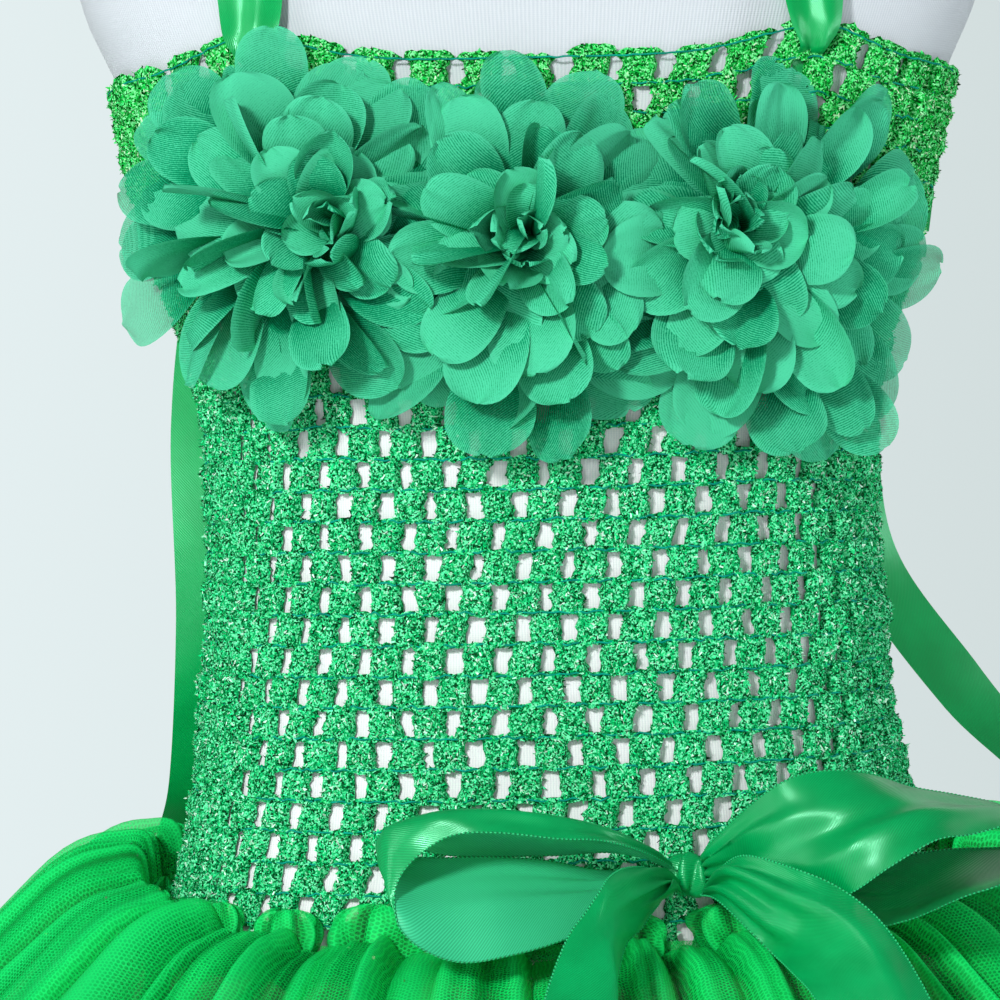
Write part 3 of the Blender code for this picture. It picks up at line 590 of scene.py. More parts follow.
crochet = {
    "around": 44,  # clusters in a row
    "across": 11,
    "up": 9,
    "fill": 0.690,  # a cluster's share of its place, the rest is the hole
    "sideFill": 0.22,  # the holes close towards both sides
    "overlap": 0.595,  # half a cluster's height in rows
    "edgeOut": 0.0002,
    "crest": 0.0029,
    "lobes": 0.00030,
    "rough": 0.00030,
    "roughUp": 0.00022,
    "ragged": 0.028,  # sideways, as a share of a cluster's place
    "widthSpread": 0.03,
    "leanSpread": 0.03,
    "placeSpread": 0.022,
    "depthSpread": 0.00020,
    "sideDepthSpread": 0.00045,
    "roundWay": 0.60,  # the tube's flat length round the body
    "lowerRows": 15,
    "flakes": 52000,  # in the lower half
    "flakeLength": 0.00110,
    "flakeWidth": 0.00036,
    "threadOut": 0.0026,
    "threadRadius": 0.00027,
    "seed": 11,
}


def crochetClusters(rows, rng):
    # each cluster is a pillow: flat in front, steep at its two sides and dipped at the row lines,
    # with a slight lean, three soft lobes side by side, and every point roughened
    around, na, nv = crochet["around"], crochet["across"], crochet["up"]
    u = np.linspace(-1, 1, na)[None, None, None, :]
    v = np.linspace(-1, 1, nv)[None, None, :, None]
    row = np.array(rows)[:, None, None, None]
    column = np.arange(around)[None, :, None, None] + 0.5 * (row % 2)
    shape = (len(rows), around, nv, na)

    def each(size):
        return size * rng.standard_normal(shape[:2])[..., None, None]

    # aside is 0 in front and behind, and 1 at the sides
    quarter = np.abs(np.abs(np.angle(np.exp(1j * circle * (column + 0.9) / around))) / math.pi - 0.5)
    aside = np.clip((0.20 - quarter) / 0.12, 0, 1)
    aside = aside * aside * (3 - 2 * aside)
    half = 0.5 * (crochet["fill"] + crochet["sideFill"] * aside) * (1 + each(crochet["widthSpread"]))
    half = half * (1 + 0.40 * np.abs(v) ** 7)
    lean = (0.035 + each(crochet["leanSpread"])) * v + 0.015 * np.sin(3 * v + each(3))
    side = column + each(crochet["placeSpread"]) + lean + half * u
    side = side + rng.standard_normal(shape) * crochet["ragged"] * u**2
    top = (row == dress["rows"] - 1) & (v > 0)
    lobed = (1.2 + 0.5 * rng.random(shape[:2])[..., None, None]) * math.pi * u
    lumps = 0.10 * np.abs(np.cos(lobed + each(0.6)))
    dome = np.where(top, (1 - 0.34 * np.abs(u) ** 4) * (1.10 + each(0.10)) + lumps, 1.0)
    share = (row + 0.5 + crochet["overlap"] * v * dome) / dress["rows"] + 0 * u
    share = share + rng.standard_normal(shape) * crochet["roughUp"] / tubeLength
    angle = np.empty(shape)
    for index, number in enumerate(rows):  # one table of cloth lengths for each row
        angle[index] = ringAngles((number + 0.5) * dress["rowPitch"], side[index] / around)
    body = np.sqrt(np.clip(1 - np.abs(u) ** 7, 0, 1)) * (1 - (0.20 + 0.42 * aside) * np.abs(v) ** 4)
    lobes = crochet["lobes"] * np.cos(3 * math.pi * u + each(0.8)) * (1 - v**2)
    out = crochet["edgeOut"] + (crochet["crest"] - crochet["edgeOut"]) * body
    out = out + (lobes + each(crochet["depthSpread"])) * body
    out = out + aside * (each(crochet["sideDepthSpread"]) + 0.0010 * (body - 0.9) - 0.0002)
    out = dress["formGap"] + out + crochet["rough"] * rng.standard_normal(shape) * (0.5 + 0.5 * body)
    return tubePoints(angle, share, np.maximum(out, dress["formGap"] * 0.6))


def buildCrochet():
    rng = np.random.default_rng(crochet["seed"])
    na, nv, lower = crochet["across"], crochet["up"], crochet["lowerRows"]
    halves = (("crochetLower", 0, lower, ["crochet_tube"]), ("crochetUpper", lower, dress["rows"], []))
    for name, first, last, nodes in halves:
        rows = list(range(first, last))
        clusters = crochetClusters(rows, rng).reshape(-1, nv, na, 3)
        piece = addPiece(name, yarn, "crochet_yarn", nodes, clusters, manyQuads(len(clusters), nv, na))
        addTinsel(name + "Tinsel", clusters, crochet["flakes"] * len(rows) // lower, rng)


def addTinsel(name, clusters, count, rng):
    # short bent flakes of tinsel stand on the clusters: a random place, a random turn and a random lift
    total, nv, na = clusters.shape[:3]

    def chance():
        return rng.random(count)[:, None]

    def spread():
        return rng.standard_normal(count)[:, None]

    which = rng.integers(0, total, count)
    a, b = rng.random(count) * (nv - 1.001), rng.random(count) * (na - 1.001)
    i, j = a.astype(int), b.astype(int)
    fa, fb = (a - i)[:, None], (b - j)[:, None]
    p00, p01 = clusters[which, i, j], clusters[which, i, j + 1]
    p10, p11 = clusters[which, i + 1, j], clusters[which, i + 1, j + 1]
    place = (p00 * (1 - fb) + p01 * fb) * (1 - fa) + (p10 * (1 - fb) + p11 * fb) * fa
    across, up = unit(p01 - p00 + p11 - p10), unit(p10 - p00 + p11 - p01)
    normal = unit(np.cross(across, up))
    turn = chance() * circle
    lift = chance() ** 1.6 * 1.2 - 0.1
    flat = np.cos(turn) * across + np.sin(turn) * unit(np.cross(normal, across))
    direction = np.cos(lift) * flat + np.sin(lift) * normal
    roll = spread() * 0.6
    side = np.cos(roll) * unit(np.cross(normal, flat)) + np.sin(roll) * normal
    length = crochet["flakeLength"] * (0.6 + 0.8 * chance())
    width = crochet["flakeWidth"] * (0.6 + 0.8 * chance())
    start = place - direction * length * 0.35 + normal * 0.0001
    end = start + direction * length
    twist = 0.6 * width * normal * spread()
    edge = side * width / 2
    corners = np.stack([start - edge, start + edge, end + edge + twist, end - edge - twist], axis=1)
    # painted shade: flakes are darker in the dips between clusters than on their crests; in small clumps
    # their tone differs at random
    inside = (1 - np.abs(2 * a / (nv - 1) - 1) ** 3) * (1 - np.abs(2 * b / (na - 1) - 1) ** 6)
    clumps = rng.standard_normal((total, 3, 4))[which, (a * 3 / nv).astype(int), (b * 4 / na).astype(int)]
    bright = 0.04 + rng.random(count) * (0.56 + 0.46 * inside) + 0.09 * clumps
    lot = np.repeat(np.clip(bright, 0, 1), 4)
    quads = np.arange(4 * count).reshape(-1, 4)
    addPiece(name, tinsel, "crochet_yarn", [], corners, quads, together(lot, lot))


def buildThreads():
    # an elastic thread dips in and out along each row line, and one runs taut along the top edge
    rng = np.random.default_rng(crochet["seed"] + 1)
    pile = Pile()
    points = crochet["around"] * 7
    f = np.arange(points) / points
    turn = circle * f * crochet["around"]
    aside = np.clip((0.25 - 2 * np.abs(np.mod(f, 0.5) - 0.25)) / 0.14, 0, 1)
    for line in range(dress["rows"] + 1):
        angle = ringAngles(line * dress["rowPitch"], f)
        bob = 0.00035 * np.sin(turn * 2.5 + rng.random() * 6) + 0.00018 * rng.standard_normal(points)
        dip = 0.00055 * np.sin(turn * 1.5 + rng.random() * 6) + 0.00025 * rng.standard_normal(points)
        dip = dip - 0.0013 * aside
        if line == dress["rows"]:
            bob = 0.3 * bob - 0.0008
            dip = 0.5 * dip + 0.0007
        out = dress["formGap"] + crochet["threadOut"] + dip
        path = tubePoints(angle, (line * dress["rowPitch"] + bob) / tubeLength, out)
        pile.add(*tube(path, crochet["threadRadius"], (0.0, 0.0, 1.0), 4, closed=True))
    pile.make("elasticThreads", elastic)


buildCrochet()
buildThreads()
print("crochet made")


# Flowers: rings of curled petals, sewn round a heart

flowers = [
    {"name": "Left", "across": -0.0708, "height": 0.2006, "lead": (0.0262, 0.0014), "radius": 0.0572,
     "tall": 0.90, "seed": 3},
    {"name": "Middle", "across": -0.0050, "height": 0.1905, "lead": (0.0028, 0.0078), "radius": 0.0545,
     "tall": 0.96, "seed": 8},
    {"name": "Right", "across": 0.0640, "height": 0.1875, "lead": (-0.0202, 0.0142), "radius": 0.0565,
     "tall": 1.0, "seed": 5},
]
# Rings of one tier: how many petals, how far from the middle their tips lie as a share of the flower's
# radius, length, width and height off the crochet in millimetres, lift at the root and at the tip in
# degrees, and how far they roll up
petalRings = {
    "Back": [(12, 1.03, 32.5, 22.8, 1.2, 12, -8, 0.35), (12, 0.94, 32.5, 22.5, 2.6, 20, -6, 0.40)],
    "Middle": [(11, 0.83, 32, 21, 4, 34, -6, 0.50), (10, 0.70, 31, 20.5, 5, 48, -6, 0.65)],
    "Front": [(9, 0.56, 30, 19.5, 6, 62, -4, 0.80), (7, 0.42, 27, 18.5, 6.6, 74, 8, 1.00)],
    "Heart": [
        (5, 0.28, 22.5, 19, 7.2, 80, 40, 1.7), (4, 0.17, 18.5, 16.5, 8.5, 86, 56, 2.3),
        (3, 0.08, 14, 12.5, 12, 84, 66, 2.8)],
}
petal = {
    "along": 15, "across": 13, "bend": 0.165, "broadest": 0.60, "root": 0.38, "tipShape": 2.3,
    "wrinkle": 0.00035, "lap": 0.28, "blades": 0.11, "folded": 0.16, "grain": 16.0, "shade": 0.80,
}
# How far petals differ from each other: place and size as shares, angles in radians
petalSpread = {
    "turn": 0.10, "length": 0.08, "width": 0.09, "rootLift": 0.14, "tipLift": 0.26, "curl": 0.35,
    "tip": 0.032, "drift": 0.08, "roll": 0.35, "twist": 0.22, "tipTwist": 0.25,
}


def petalOutline(b):
    # half width along a petal: a sine up to the broadest place, then a superellipse round the tip
    broad = petal["broadest"]
    rise = petal["root"] + (1 - petal["root"]) * np.sin(np.clip(b / broad, 0, 1) * math.pi / 2)
    over = np.clip((b - broad) / (1 - broad), 0, 1)
    return np.where(b < broad, rise, (1 - over ** petal["tipShape"]) ** (1 / petal["tipShape"]))


def petalSurface(ring, flower, heart, rng):
    # the middle line climbs at an angle that changes from root to tip, and curls at its end; across it the
    # petal is an arc of a circle, turned about that line so that one side laps over its neighbour
    count, tip, length, width, seat, first, last, rolled = ring
    b = (np.sin(np.linspace(0, math.pi / 2, petal["along"])) * 0.996)[None, :, None]
    a = np.linspace(-1, 1, petal["across"])[None, None, :]

    def spread(size):
        return size * rng.standard_normal(count)[:, None, None]

    def chance():
        return rng.random(count)[:, None, None]

    azimuth = circle * (np.arange(count)[:, None, None] + rng.random()) / count + spread(petalSpread["turn"])
    length = mm * length * (1 + spread(petalSpread["length"]))
    width = mm * width * (1 + spread(petalSpread["width"]))
    first, last = math.radians(first), math.radians(last)
    lift = first + spread(petalSpread["rootLift"]) + (last - first + spread(petalSpread["tipLift"])) * b**0.8
    lift = lift + spread(petalSpread["curl"]) * np.clip(b - 0.55, 0, 1) ** 1.5 * 2
    step = np.diff(b, axis=1, prepend=0.0) * length
    reach = np.cumsum(np.cos(lift) * step, axis=1)
    start = tip * flower["radius"] * (1 + spread(petalSpread["tip"])) - reach[:, -1:]
    radial = np.maximum(start, 0.0008) + reach
    stand = mm * seat + 0.0008 * chance() + np.cumsum(np.sin(lift) * step, axis=1)
    azimuth = azimuth + (0.10 * rolled + spread(petalSpread["drift"])) * b
    half = 0.5 * width * petalOutline(b)
    folded = chance() < petal["folded"]
    blade = (chance() < petal["blades"]) & (tip < 0.9) & (not heart)
    arc = np.clip(rolled * (1 + spread(petalSpread["roll"])), 0.15, 3.2)
    arc = arc * np.where(folded & (not heart), 3.0, 1.0)
    arc = np.clip(arc, 0.15, 3.2) * (1.15 - 0.35 * b)
    hand = np.where(chance() < (1.0 if heart else 0.70), 1.0, -0.6)
    theta = a * arc / 2
    sideways = half / (arc / 2) * np.sin(theta)
    sag = half / (arc / 2) * (1 - np.cos(theta)) * hand
    sag = sag + petal["wrinkle"] * np.sin((2.0 + 2.5 * chance()) * a * math.pi + spread(2.0)) * b
    sag = sag + 0.0010 * np.sin(a * 3.6 + spread(3.0)) * np.clip(b - 0.5, 0, 1) * 2
    twist = petal["lap"] * (0.3 if heart else 1.0) + spread(petalSpread["twist"])
    twist = twist + np.where(blade, 1.15, 0.0) + spread(petalSpread["tipTwist"]) * b
    c, s = np.cos(azimuth), np.sin(azimuth)
    outwards, tangent = together(c, s, 0 * c), together(-s, c, 0 * c)
    ahead = np.array([0.0, 0.0, 1.0])
    normal = -np.sin(lift)[..., None] * outwards + np.cos(lift)[..., None] * ahead
    points = radial[..., None] * outwards + stand[..., None] * ahead
    c, s = np.cos(twist)[..., None], np.sin(twist)[..., None]
    points = points + sideways[..., None] * (c * tangent + s * normal)
    points = points + sag[..., None] * (c * normal - s * tangent)
    points[..., :2] += np.array(flower["lead"]) * np.clip(1.05 - tip, 0, 1)
    points[..., 1] *= flower["tall"]
    points[..., 2] += np.where(blade, 0.004, 0.0)
    # the grain of the cloth is turned by chance on each petal, and bent a little
    grain = chance() * math.pi
    u, w = np.broadcast_arrays(half * a, (b - 0.5) * length)
    u, w = u * np.cos(grain) - w * np.sin(grain), u * np.sin(grain) + w * np.cos(grain)
    u = u + petal["grain"] * np.where(chance() < 0.5, 1.0, -1.0) * w**2
    # painted shade: each petal darkens towards its root, down among the other petals; painted highlight:
    # paler rims where the thin edges catch the light; the rest is a random tone for each petal
    root = 1 - np.clip(b / petal["shade"], 0, 1)
    rim = np.maximum(np.abs(a) ** 14, b**40)
    tone = 0.66 + 0.38 * chance() - 0.70 * root**1.4 + 0.18 * rim
    return points, together(u, w), tone, float((2 * half.mean(axis=1) * length[:, 0]).sum())


def buildFlower(flower):
    angle = angleAt(flower["across"], flower["height"], crochetOut)
    out = outward(angle, flower["height"])
    origin = formPoints(angle, flower["height"], crochetOut)
    up = np.array([0.0, 0.0, 1.0])
    across = np.cross(up, out)
    rng = np.random.default_rng(flower["seed"])
    for tier, rings in petalRings.items():
        pile = Pile()
        for ring in rings:
            local, uv, tone, cloth = petalSurface(ring, flower, tier == "Heart", rng)
            stand = np.maximum(local[..., 2], 0.0009) - local[..., 0] ** 2 / (2 * petal["bend"])
            world = origin + local[..., 0, None] * across + local[..., 1, None] * up + stand[..., None] * out
            pile.add(world, manyQuads(*world.shape[:3]), uv, tone.reshape(-1))
        node = f"flower_{flower['name']}_{tier}".lower()
        material = chiffonThin if tier == "Back" else chiffon
        piece = pile.make(f"flower{flower['name']}{tier}", material, [node])


for flower in flowers:
    buildFlower(flower)
print("flowers made")


# Ribbons, with every table in millimetres from the middle of its knot

ribbon = {"bowWidth": 0.038, "strapWidth": 0.025, "columns": 25, "whipPitch": 0.0012, "whipRadius": 0.00023}
bow = {
    "x": 0.0366, "height": 0.0217, "seat": 0.0055, "grooveReach": 0.0003, "knot": (0.0136, 0.0100, 0.0098),
    "tilt": -0.75}
backBow = {"x": 0.079, "height": 0.232, "knot": (0.0090, 0.0090, 0.0100)}

# One section in a row: x, out, z, width, then the direction from the back edge to the front edge
sections = {
    "bow_loop_right": [
        (5.2, 1.4, 2, 6, 0.3, 0.2, -0.93), (5.2, 6, 2.4, 11, 0.26, 0, -0.97),
        (15.2, 14.5, 5.4, 23, 0.3, 0.04, -0.95), (25.9, 26, 10, 32, 0.23, 0.19, -0.96),
        (37.3, 34.7, 13.8, 38, 0.16, 0.57, -0.81), (48.6, 36.3, 17, 38, 0.1, 0.8, -0.59),
        (60.8, 34.1, 18.1, 38, 0.08, 0.95, -0.3), (71.7, 30, 17.2, 38, 0.01, 0.98, -0.2),
        (82.4, 26.8, 16.5, 38, -0.07, 0.99, -0.06), (89.5, 23.7, 14.2, 38, -0.11, 0.98, 0.14),
        (91.1, 20.9, 7.8, 38, -0.11, 0.99, 0.05), (86.9, 19.7, 3.2, 38, -0.12, 0.98, -0.13),
        (73.7, 19, 0.5, 38, -0.2, 0.94, -0.26), (60.6, 14.5, -3.1, 33, -0.28, 0.83, -0.48),
        (48, 11.5, -4.9, 27, -0.27, 0.78, -0.57), (27.9, 7.5, -3.3, 16, -0.23, 0.82, -0.53),
        (11.2, 4, -1.7, 7, 0.13, 0.8, -0.58), (5.4, 0.6, -2.2, 5, 0, 0.7, -0.7),
    ],
    "loop_outer": [
        (4.8, 1, 0.8, 6, 0, 0, 1), (18, 15, -6, 20, 0, 0, 1), (32, 16, -14, 25, 0, 0, 1),
        (40, 9, -19.5, 25, 0.1, 0, 1), (32, 1, -18, 25, 0, 0, 1), (19, -1, -12, 18, 0, 0, 1),
        (4.8, -1.2, -1, 6, 0, 0, 1),
    ],
    "loop_inner": [
        (-5.2, 1.6, 0.8, 6, 0, 0, 1), (-18, 19, -5, 20, 0, 0, 1), (-33, 24, -13, 25, 0, 0, 1),
        (-45, 22, -20, 25, 0, 0, 1), (-40, 16, -21, 25, 0, 0, 1), (-25, 10, -15, 20, 0, 0, 1),
        (-5, -0.6, -1, 6, 0, 0, 1),
    ],
    "tail_outer_left": [
        (2.6, 0.6, -5.4, 4.5, 1, 0, 0), (12, 10, -38, 22, 1, 0, 0), (18, 12, -85, 25, 1, 0.1, 0),
        (18, 13, -145, 25, 1, 0.1, 0), (22.5, 33, -195, 25, 1, -0.2, 0), (31.5, 64, -225, 25, 1, -0.4, 0),
        (38, 96, -285, 25, 1, -0.4, 0), (43, 116, -345, 25, 1, -0.4, 0),
    ],
    "tail_outer_right": [
        (2.6, 0.6, -5.4, 4.5, 1, 0, 0), (9, 12, -45, 22, 1, 0, 0), (12, 18, -93, 25, 0.9, 0.5, 0.1),
        (21, 24, -133, 25, 0.6, 0.7, 0.3),
        (48, 32, -172, 25, 0.5, 0.7, 0.4), (78, 45, -208, 25, 0.3, 0.9, 0.3),
        (100, 65, -260, 25, 0.5, 0.8, 0.2), (113, 80, -325, 25, 0.8, 0.5, 0.1),
    ],
    "tail_inner": [
        (-2.6, 0.6, -5.4, 4.5, 1, 0, 0), (-11, 20, -40, 20, 1, 0.1, 0), (-14, 26, -100, 25, 1, 0.1, 0),
        (-15, 33, -160, 25, 1, 0.1, 0), (-16, 56, -200, 25, 1, -0.1, 0), (-18, 98, -250, 25, 1, -0.2, 0),
        (-20, 118, -290, 25, 1, -0.2, 0),
    ],
}
# A folded ribbon: x, out, z of one edge, then of a place between, then of the other edge
foldEdges = {
    "bow_loop_left": [
        (-5.2, -1.2, 1.6, -5.4, 1.4, 2.6, -5, 4.2, 1.8), (-10.5, 4, 5.3, -12.6, 12, 8.5, -14.1, 17, 7.7),
        (-23, 4, 7.2, -23.5, 23, 15.9, -25, 29, 12.2), (-36.6, 4, 6.5, -37.6, 30, 21.1, -35.7, 35, 13.7),
        (-51.8, 3, 6.5, -52.8, 32, 23.5, -51.6, 37, 15.9), (-65.4, 3, 7, -66.9, 32, 23.3, -63.5, 37, 15.6),
        (-74.8, 3, 9.2, -77, 31, 21, -71.9, 35.5, 11.4), (-82.1, 4, 12.1, -83.3, 29, 17.5, -77.9, 33.5, 5.5),
        (-85.3, 6, 12.4, -84.6, 29, 9, -80.2, 33.5, -1.4), (-84.7, 9, 9.9, -82.3, 31, 2.7, -79, 37, -8.8),
        (-79.3, 12, 7.9, -76.5, 32, -2.7, -72.4, 41, -14.6),
        (-67.4, 14, 7.3, -65.7, 32, -5.6, -62.4, 42, -17.9),
        (-54.5, 13, 7.1, -52.6, 30, -5, -49.7, 41, -16.4),
        (-39.9, 10, 5.5, -38.4, 23, -4.7, -36.3, 36, -13.3),
        (-27.5, 6, 2.4, -25.6, 15, -3.6, -23.8, 25, -8.8), (-13.9, 2, 0.1, -12.9, 7, -1.7, -12, 12, -3.7),
        (-5.2, -1.4, -1.2, -5.4, 1.2, -2, -5, 3.6, -3.4),
    ],
    "bow_tail_left": [
        (-3, 2, -1.5, -3.6, 4, -3.6, -3, 3, -5.8), (-10.1, 14, 3.8, -6.7, 17, 0.2, -4.9, 9, -2.8),
        (-17.7, 30, 5.4, -12.6, 33, -1.3, -7.8, 15, -4.3), (-22.8, 42, 4, -18.8, 45, -3.5, -9.7, 20, -6.2),
        (-25.6, 49, 1, -22.2, 52, -5.3, -12, 26, -8.2), (-29.8, 55, -4.1, -22.6, 58, -8.6, -14.9, 32, -11.5),
        (-35, 62, -10.6, -22.6, 65, -12.6, -19.4, 38, -15.6),
        (-40.9, 76, -23.9, -21.7, 79, -24.5, -22.8, 60, -26.7),
        (-43.9, 91, -38, -23.6, 94, -38.5, -25, 76, -40.8),
        (-49.8, 117, -69.6, -28.6, 120, -69.6, -30.9, 104, -72),
        (-53, 137, -98.5, -32.1, 140, -98.5, -35.6, 124, -101.3),
    ],
    "bow_tail_right": [
        (4.6, 4.8, -1.2, 4.2, 5.2, -2.6, 3, 4, -5), (6.4, 11, -0.7, 5.2, 13, -1.5, 2.6, 11, -4.9),
        (13.4, 26, 6.2, 11.1, 29, 4.1, 6.4, 22, -5), (27, 39.7, 3.7, 24.1, 44, -0.1, 14.8, 33.7, -12.8),
        (39.3, 47.5, -1.5, 35.3, 56, -4.9, 20.2, 35.5, -18.5),
        (49, 58.5, -10.2, 44.3, 67, -12.9, 24, 46.5, -21.7),
        (57.8, 76.5, -25.7, 51.2, 85, -25.5, 29.7, 64.5, -27.8),
        (62.4, 93.5, -39.2, 55.9, 102, -39.6, 36.4, 81.5, -43.8),
        (66.9, 120.5, -65.7, 60.5, 129, -66, 42.8, 108.5, -69.2),
        (70.6, 138.5, -99.9, 64.3, 147, -99.6, 45.6, 126.5, -102.2),
    ],
}
# Creases: where across the ribbon as a share of its width, how that drifts in a metre, the crease's width as
# such a share, then its height, where it lies along the ribbon and how long it is, in millimetres
creases = {
    "bow_loop_left": [
        (0.34, 0, 0.11, 1.2, 62, 22), (0.34, 0, 0.12, -1.8, 86, 18), (0.1, 1, 0.12, 2, 165, 30)],
    "bow_loop_right": [
        (-0.22, 3, 0.08, 3, 22, 18), (0.14, 4, 0.08, 2.6, 22, 14), (0.02, 0, 0.2, 3.4, 27, 12),
        (0.22, -3, 0.1, 2.6, 58, 24), (-0.02, -2, 0.1, -2.2, 52, 16), (-0.2, 0, 0.14, -2, 90, 18)],
    "bow_tail_left": [(0.1, -2, 0.12, 1.2, 30, 20), (0.3, 0, 0.1, -3, 26, 18)],
    "bow_tail_right": [(-0.2, 1, 0.09, 1.4, 20, 16), (0.22, -1, 0.12, 1.2, 45, 25)],
}
whipPile = Pile()


def ribbonGrid(key, origin, axes, fullWidth, steps, pleats, phase, bulge):
    # rows of points read from the sections; where the ribbon is drawn narrow its spare width lies in pleats
    values = readRows(np.array(sections[key], float) * ([mm] * 4 + [1] * 3), steps)
    centre = origin + values[:, :3] @ axes
    direction = unit(values[:, 4:7] @ axes)
    s = np.linspace(-0.5, 0.5, ribbon["columns"])[None, :, None]
    width = values[:, 3, None, None]
    grid = centre[:, None, :] + s * width * direction[:, None, :]
    spare = np.clip((1 - width / fullWidth - 0.1) / 0.9, 0, 1)
    depth = np.minimum(0.0018, 0.42 * width / pleats) * spare
    turn = circle * pleats * (s + 0.5 + 0.06 * np.sin(5 * s + phase)) + phase
    grid = grid + gridNormals(grid) * (depth * np.sin(turn) + bulge * (1 - spare) * (0.5 - 2 * s**2))
    along = runAlong(centre)
    return grid, together(s[..., 0] * fullWidth, along[:, None]), along


def foldGrid(key, fold, sharp, origin, axes, steps, phase):
    # across the ribbon: two flat parts that meet in a fold, at this share of the way from the first edge;
    # (t +- sqrt(t^2 + sharp)) / 2 rounds the fold off
    values = readRows(mm * np.array(foldEdges[key], float), steps)
    a, m, b = ((origin + values[:, k:k + 3] @ axes)[:, None] for k in (0, 3, 6))
    t = np.linspace(0, 1, ribbon["columns"])[None, :, None]
    apart = t - fold
    rest = 0.5 * (apart + np.sqrt(apart**2 + sharp)) / (1 - fold)
    start = 0.5 * (apart - np.sqrt(apart**2 + sharp)) / fold
    grid = m + start * (m - a) + rest * (b - m)
    # where the two parts are narrower than the ribbon, the spare width lies in three pleats
    width = (np.linalg.norm(m - a, axis=-1) + np.linalg.norm(b - m, axis=-1))[..., None]
    spare = np.clip(1.06 - width / ribbon["bowWidth"], 0, 1)
    depth = np.minimum(0.0017, 0.15 * width) * spare**0.8
    turn = circle * (3.0 * t + 0.15 * np.sin(5 * t + phase)) + phase
    grid = grid + gridNormals(grid) * depth * np.sin(turn)
    along = runAlong(m[:, 0])
    return grid, together((t[..., 0] - 0.5) * ribbon["bowWidth"], along[:, None]), along


def creased(grid, along, rows):
    s = np.linspace(-0.5, 0.5, grid.shape[1])[None, :]
    run = along[:, None]
    normal = gridNormals(grid)
    for across, slope, width, height, start, length in np.array(rows) * (1, 1, 1, mm, mm, mm):
        middle = across + slope * (run - start)
        shape = np.exp(-(((s - middle) / width) ** 2)) * np.exp(-(((run - start) / length) ** 2))
        grid = grid + normal * (height * shape)[..., None]
    return grid


def addWhip(edge, guide):
    # the whipped edge: a thread tube that swells and shrinks at each stitch
    length = runAlong(edge)
    places = np.linspace(0, length[-1], max(8, int(length[-1] / (ribbon["whipPitch"] / 4))))
    path, guides = (
        together(*(np.interp(places, length, line[:, k]) for k in range(3))) for line in (edge, guide))
    swell = 1 + 0.45 * np.cos(places * circle / ribbon["whipPitch"])
    uv = np.repeat(together(places, places), 5, axis=0)
    whipPile.add(*tube(path, ribbon["whipRadius"] * swell, guides, 5), uv)


def addRibbon(name, node, shape, material, flip=False):
    grid, uv, along = shape
    if node in creases:
        grid = creased(grid, along, creases[node])
        normals = gridNormals(grid)
        addWhip(grid[:, 0], normals[:, 0])
        addWhip(grid[:, -1], normals[:, -1])
    quads = gridQuads(*grid.shape[:2])
    quads = quads[:, ::-1] if flip else quads
    piece = addPiece(name, material, "satin_ribbon", [node], grid, quads, uv)
    length = float(along[-1])
    return length


def addKnot(name, node, centre, size, material, tilt=0.0):
    # a tied knot: the ribbon's crossing band, drawn into a few deep slanting creases
    rings, around = 34, 40
    polar = np.linspace(0.03, math.pi - 0.03, rings)[:, None]
    turn = np.linspace(0, circle, around, endpoint=False)[None, :]
    crease = np.abs(np.sin(2.5 * turn + 1.6 * np.cos(polar) + 0.4)) ** 0.8
    body = np.sin(polar) ** 0.55 * (0.60 + 0.42 * crease + 0.06 * np.sin(5 * turn - 4 * polar))
    x, y = size[0] / 2 * body * np.cos(turn), size[1] / 2 * body * np.sin(turn)
    z = size[2] / 2 * np.cos(polar) * (1 + 0.10 * np.sin(2 * turn))
    c, s = math.cos(tilt), math.sin(tilt)
    points = together(c * x - s * z, y, s * x + c * z) + centre
    quads = gridQuads(rings, around, False, True)[:, ::-1]
    addPiece(name, material, "satin_ribbon", [node], points, quads, together(turn * 0.005, polar * 0.005))


def pieceName(node):
    first, *rest = node.split("_")
    return first + "".join(word.title() for word in rest)


def buildWaistBow():
    angle = angleAt(bow["x"], bow["height"], crochetOut)
    seat = formPoints(angle, bow["height"], crochetOut + dress["seatGap"])
    knot = seat + outward(angle, bow["height"]) * (bow["seat"] - bow["grooveReach"])
    addKnot("bowKnot", "bow_knot", knot, bow["knot"], satin, bow["tilt"])
    axes = np.diag([1.0, -1.0, 1.0])
    width = ribbon["bowWidth"]
    total = 0.0
    shapes = {
        "bow_loop_left": (foldGrid("bow_loop_left", 0.66, 0.006, knot, axes, 150, 0.2), satin, True),
        "bow_loop_right": (
            ribbonGrid("bow_loop_right", knot, axes, width, 140, 3, 0.6, 0.0052), satinTwisted, False),
        "bow_tail_left": (foldGrid("bow_tail_left", 0.45, 0.004, knot, axes, 120, 0.8), satin, True),
        "bow_tail_right": (foldGrid("bow_tail_right", 0.24, 0.006, knot, axes, 120, 0.8), satin, False),
    }
    for node, (shape, cloth, flip) in shapes.items():
        total += addRibbon(pieceName(node), node, shape, cloth, flip)
    print("waist bow ribbon, metres:", round(total, 3))


# A strap: tilt up from level at the front in degrees, then how far out it lies, its middle and its width in
# millimetres
strapRows = np.array([
    (5, 0.3, 75, 8), (9, 0.4, 75.2, 7.2), (12, 4, 75.4, 7.8), (18, 5.4, 75.7, 13.8), (27, 3.6, 76.5, 17),
    (42, 2.4, 78.5, 18.5), (65, 2.4, 80.5, 20.5), (90, 2.4, 81.5, 21.5), (115, 2.4, 80.5, 20.5),
    (138, 2.4, 79, 17.5), (153, 3.6, 77.5, 15), (163, 5.4, 76.5, 14), (171, 5.6, 76, 12),
]) * (1, mm, mm, mm)
strap = {"centre": 0.235, "reach": 0.2, "neckFoot": 0.35, "steps": 90, "columns": 17}


def insideForm(points):
    halfWidth, halfDepth, square = np.moveaxis(readCurve(formRows, points[..., 2] - dress["waistZ"]), -1, 0)
    return np.abs(points[..., 0] / halfWidth) ** square + np.abs(points[..., 1] / halfDepth) ** square


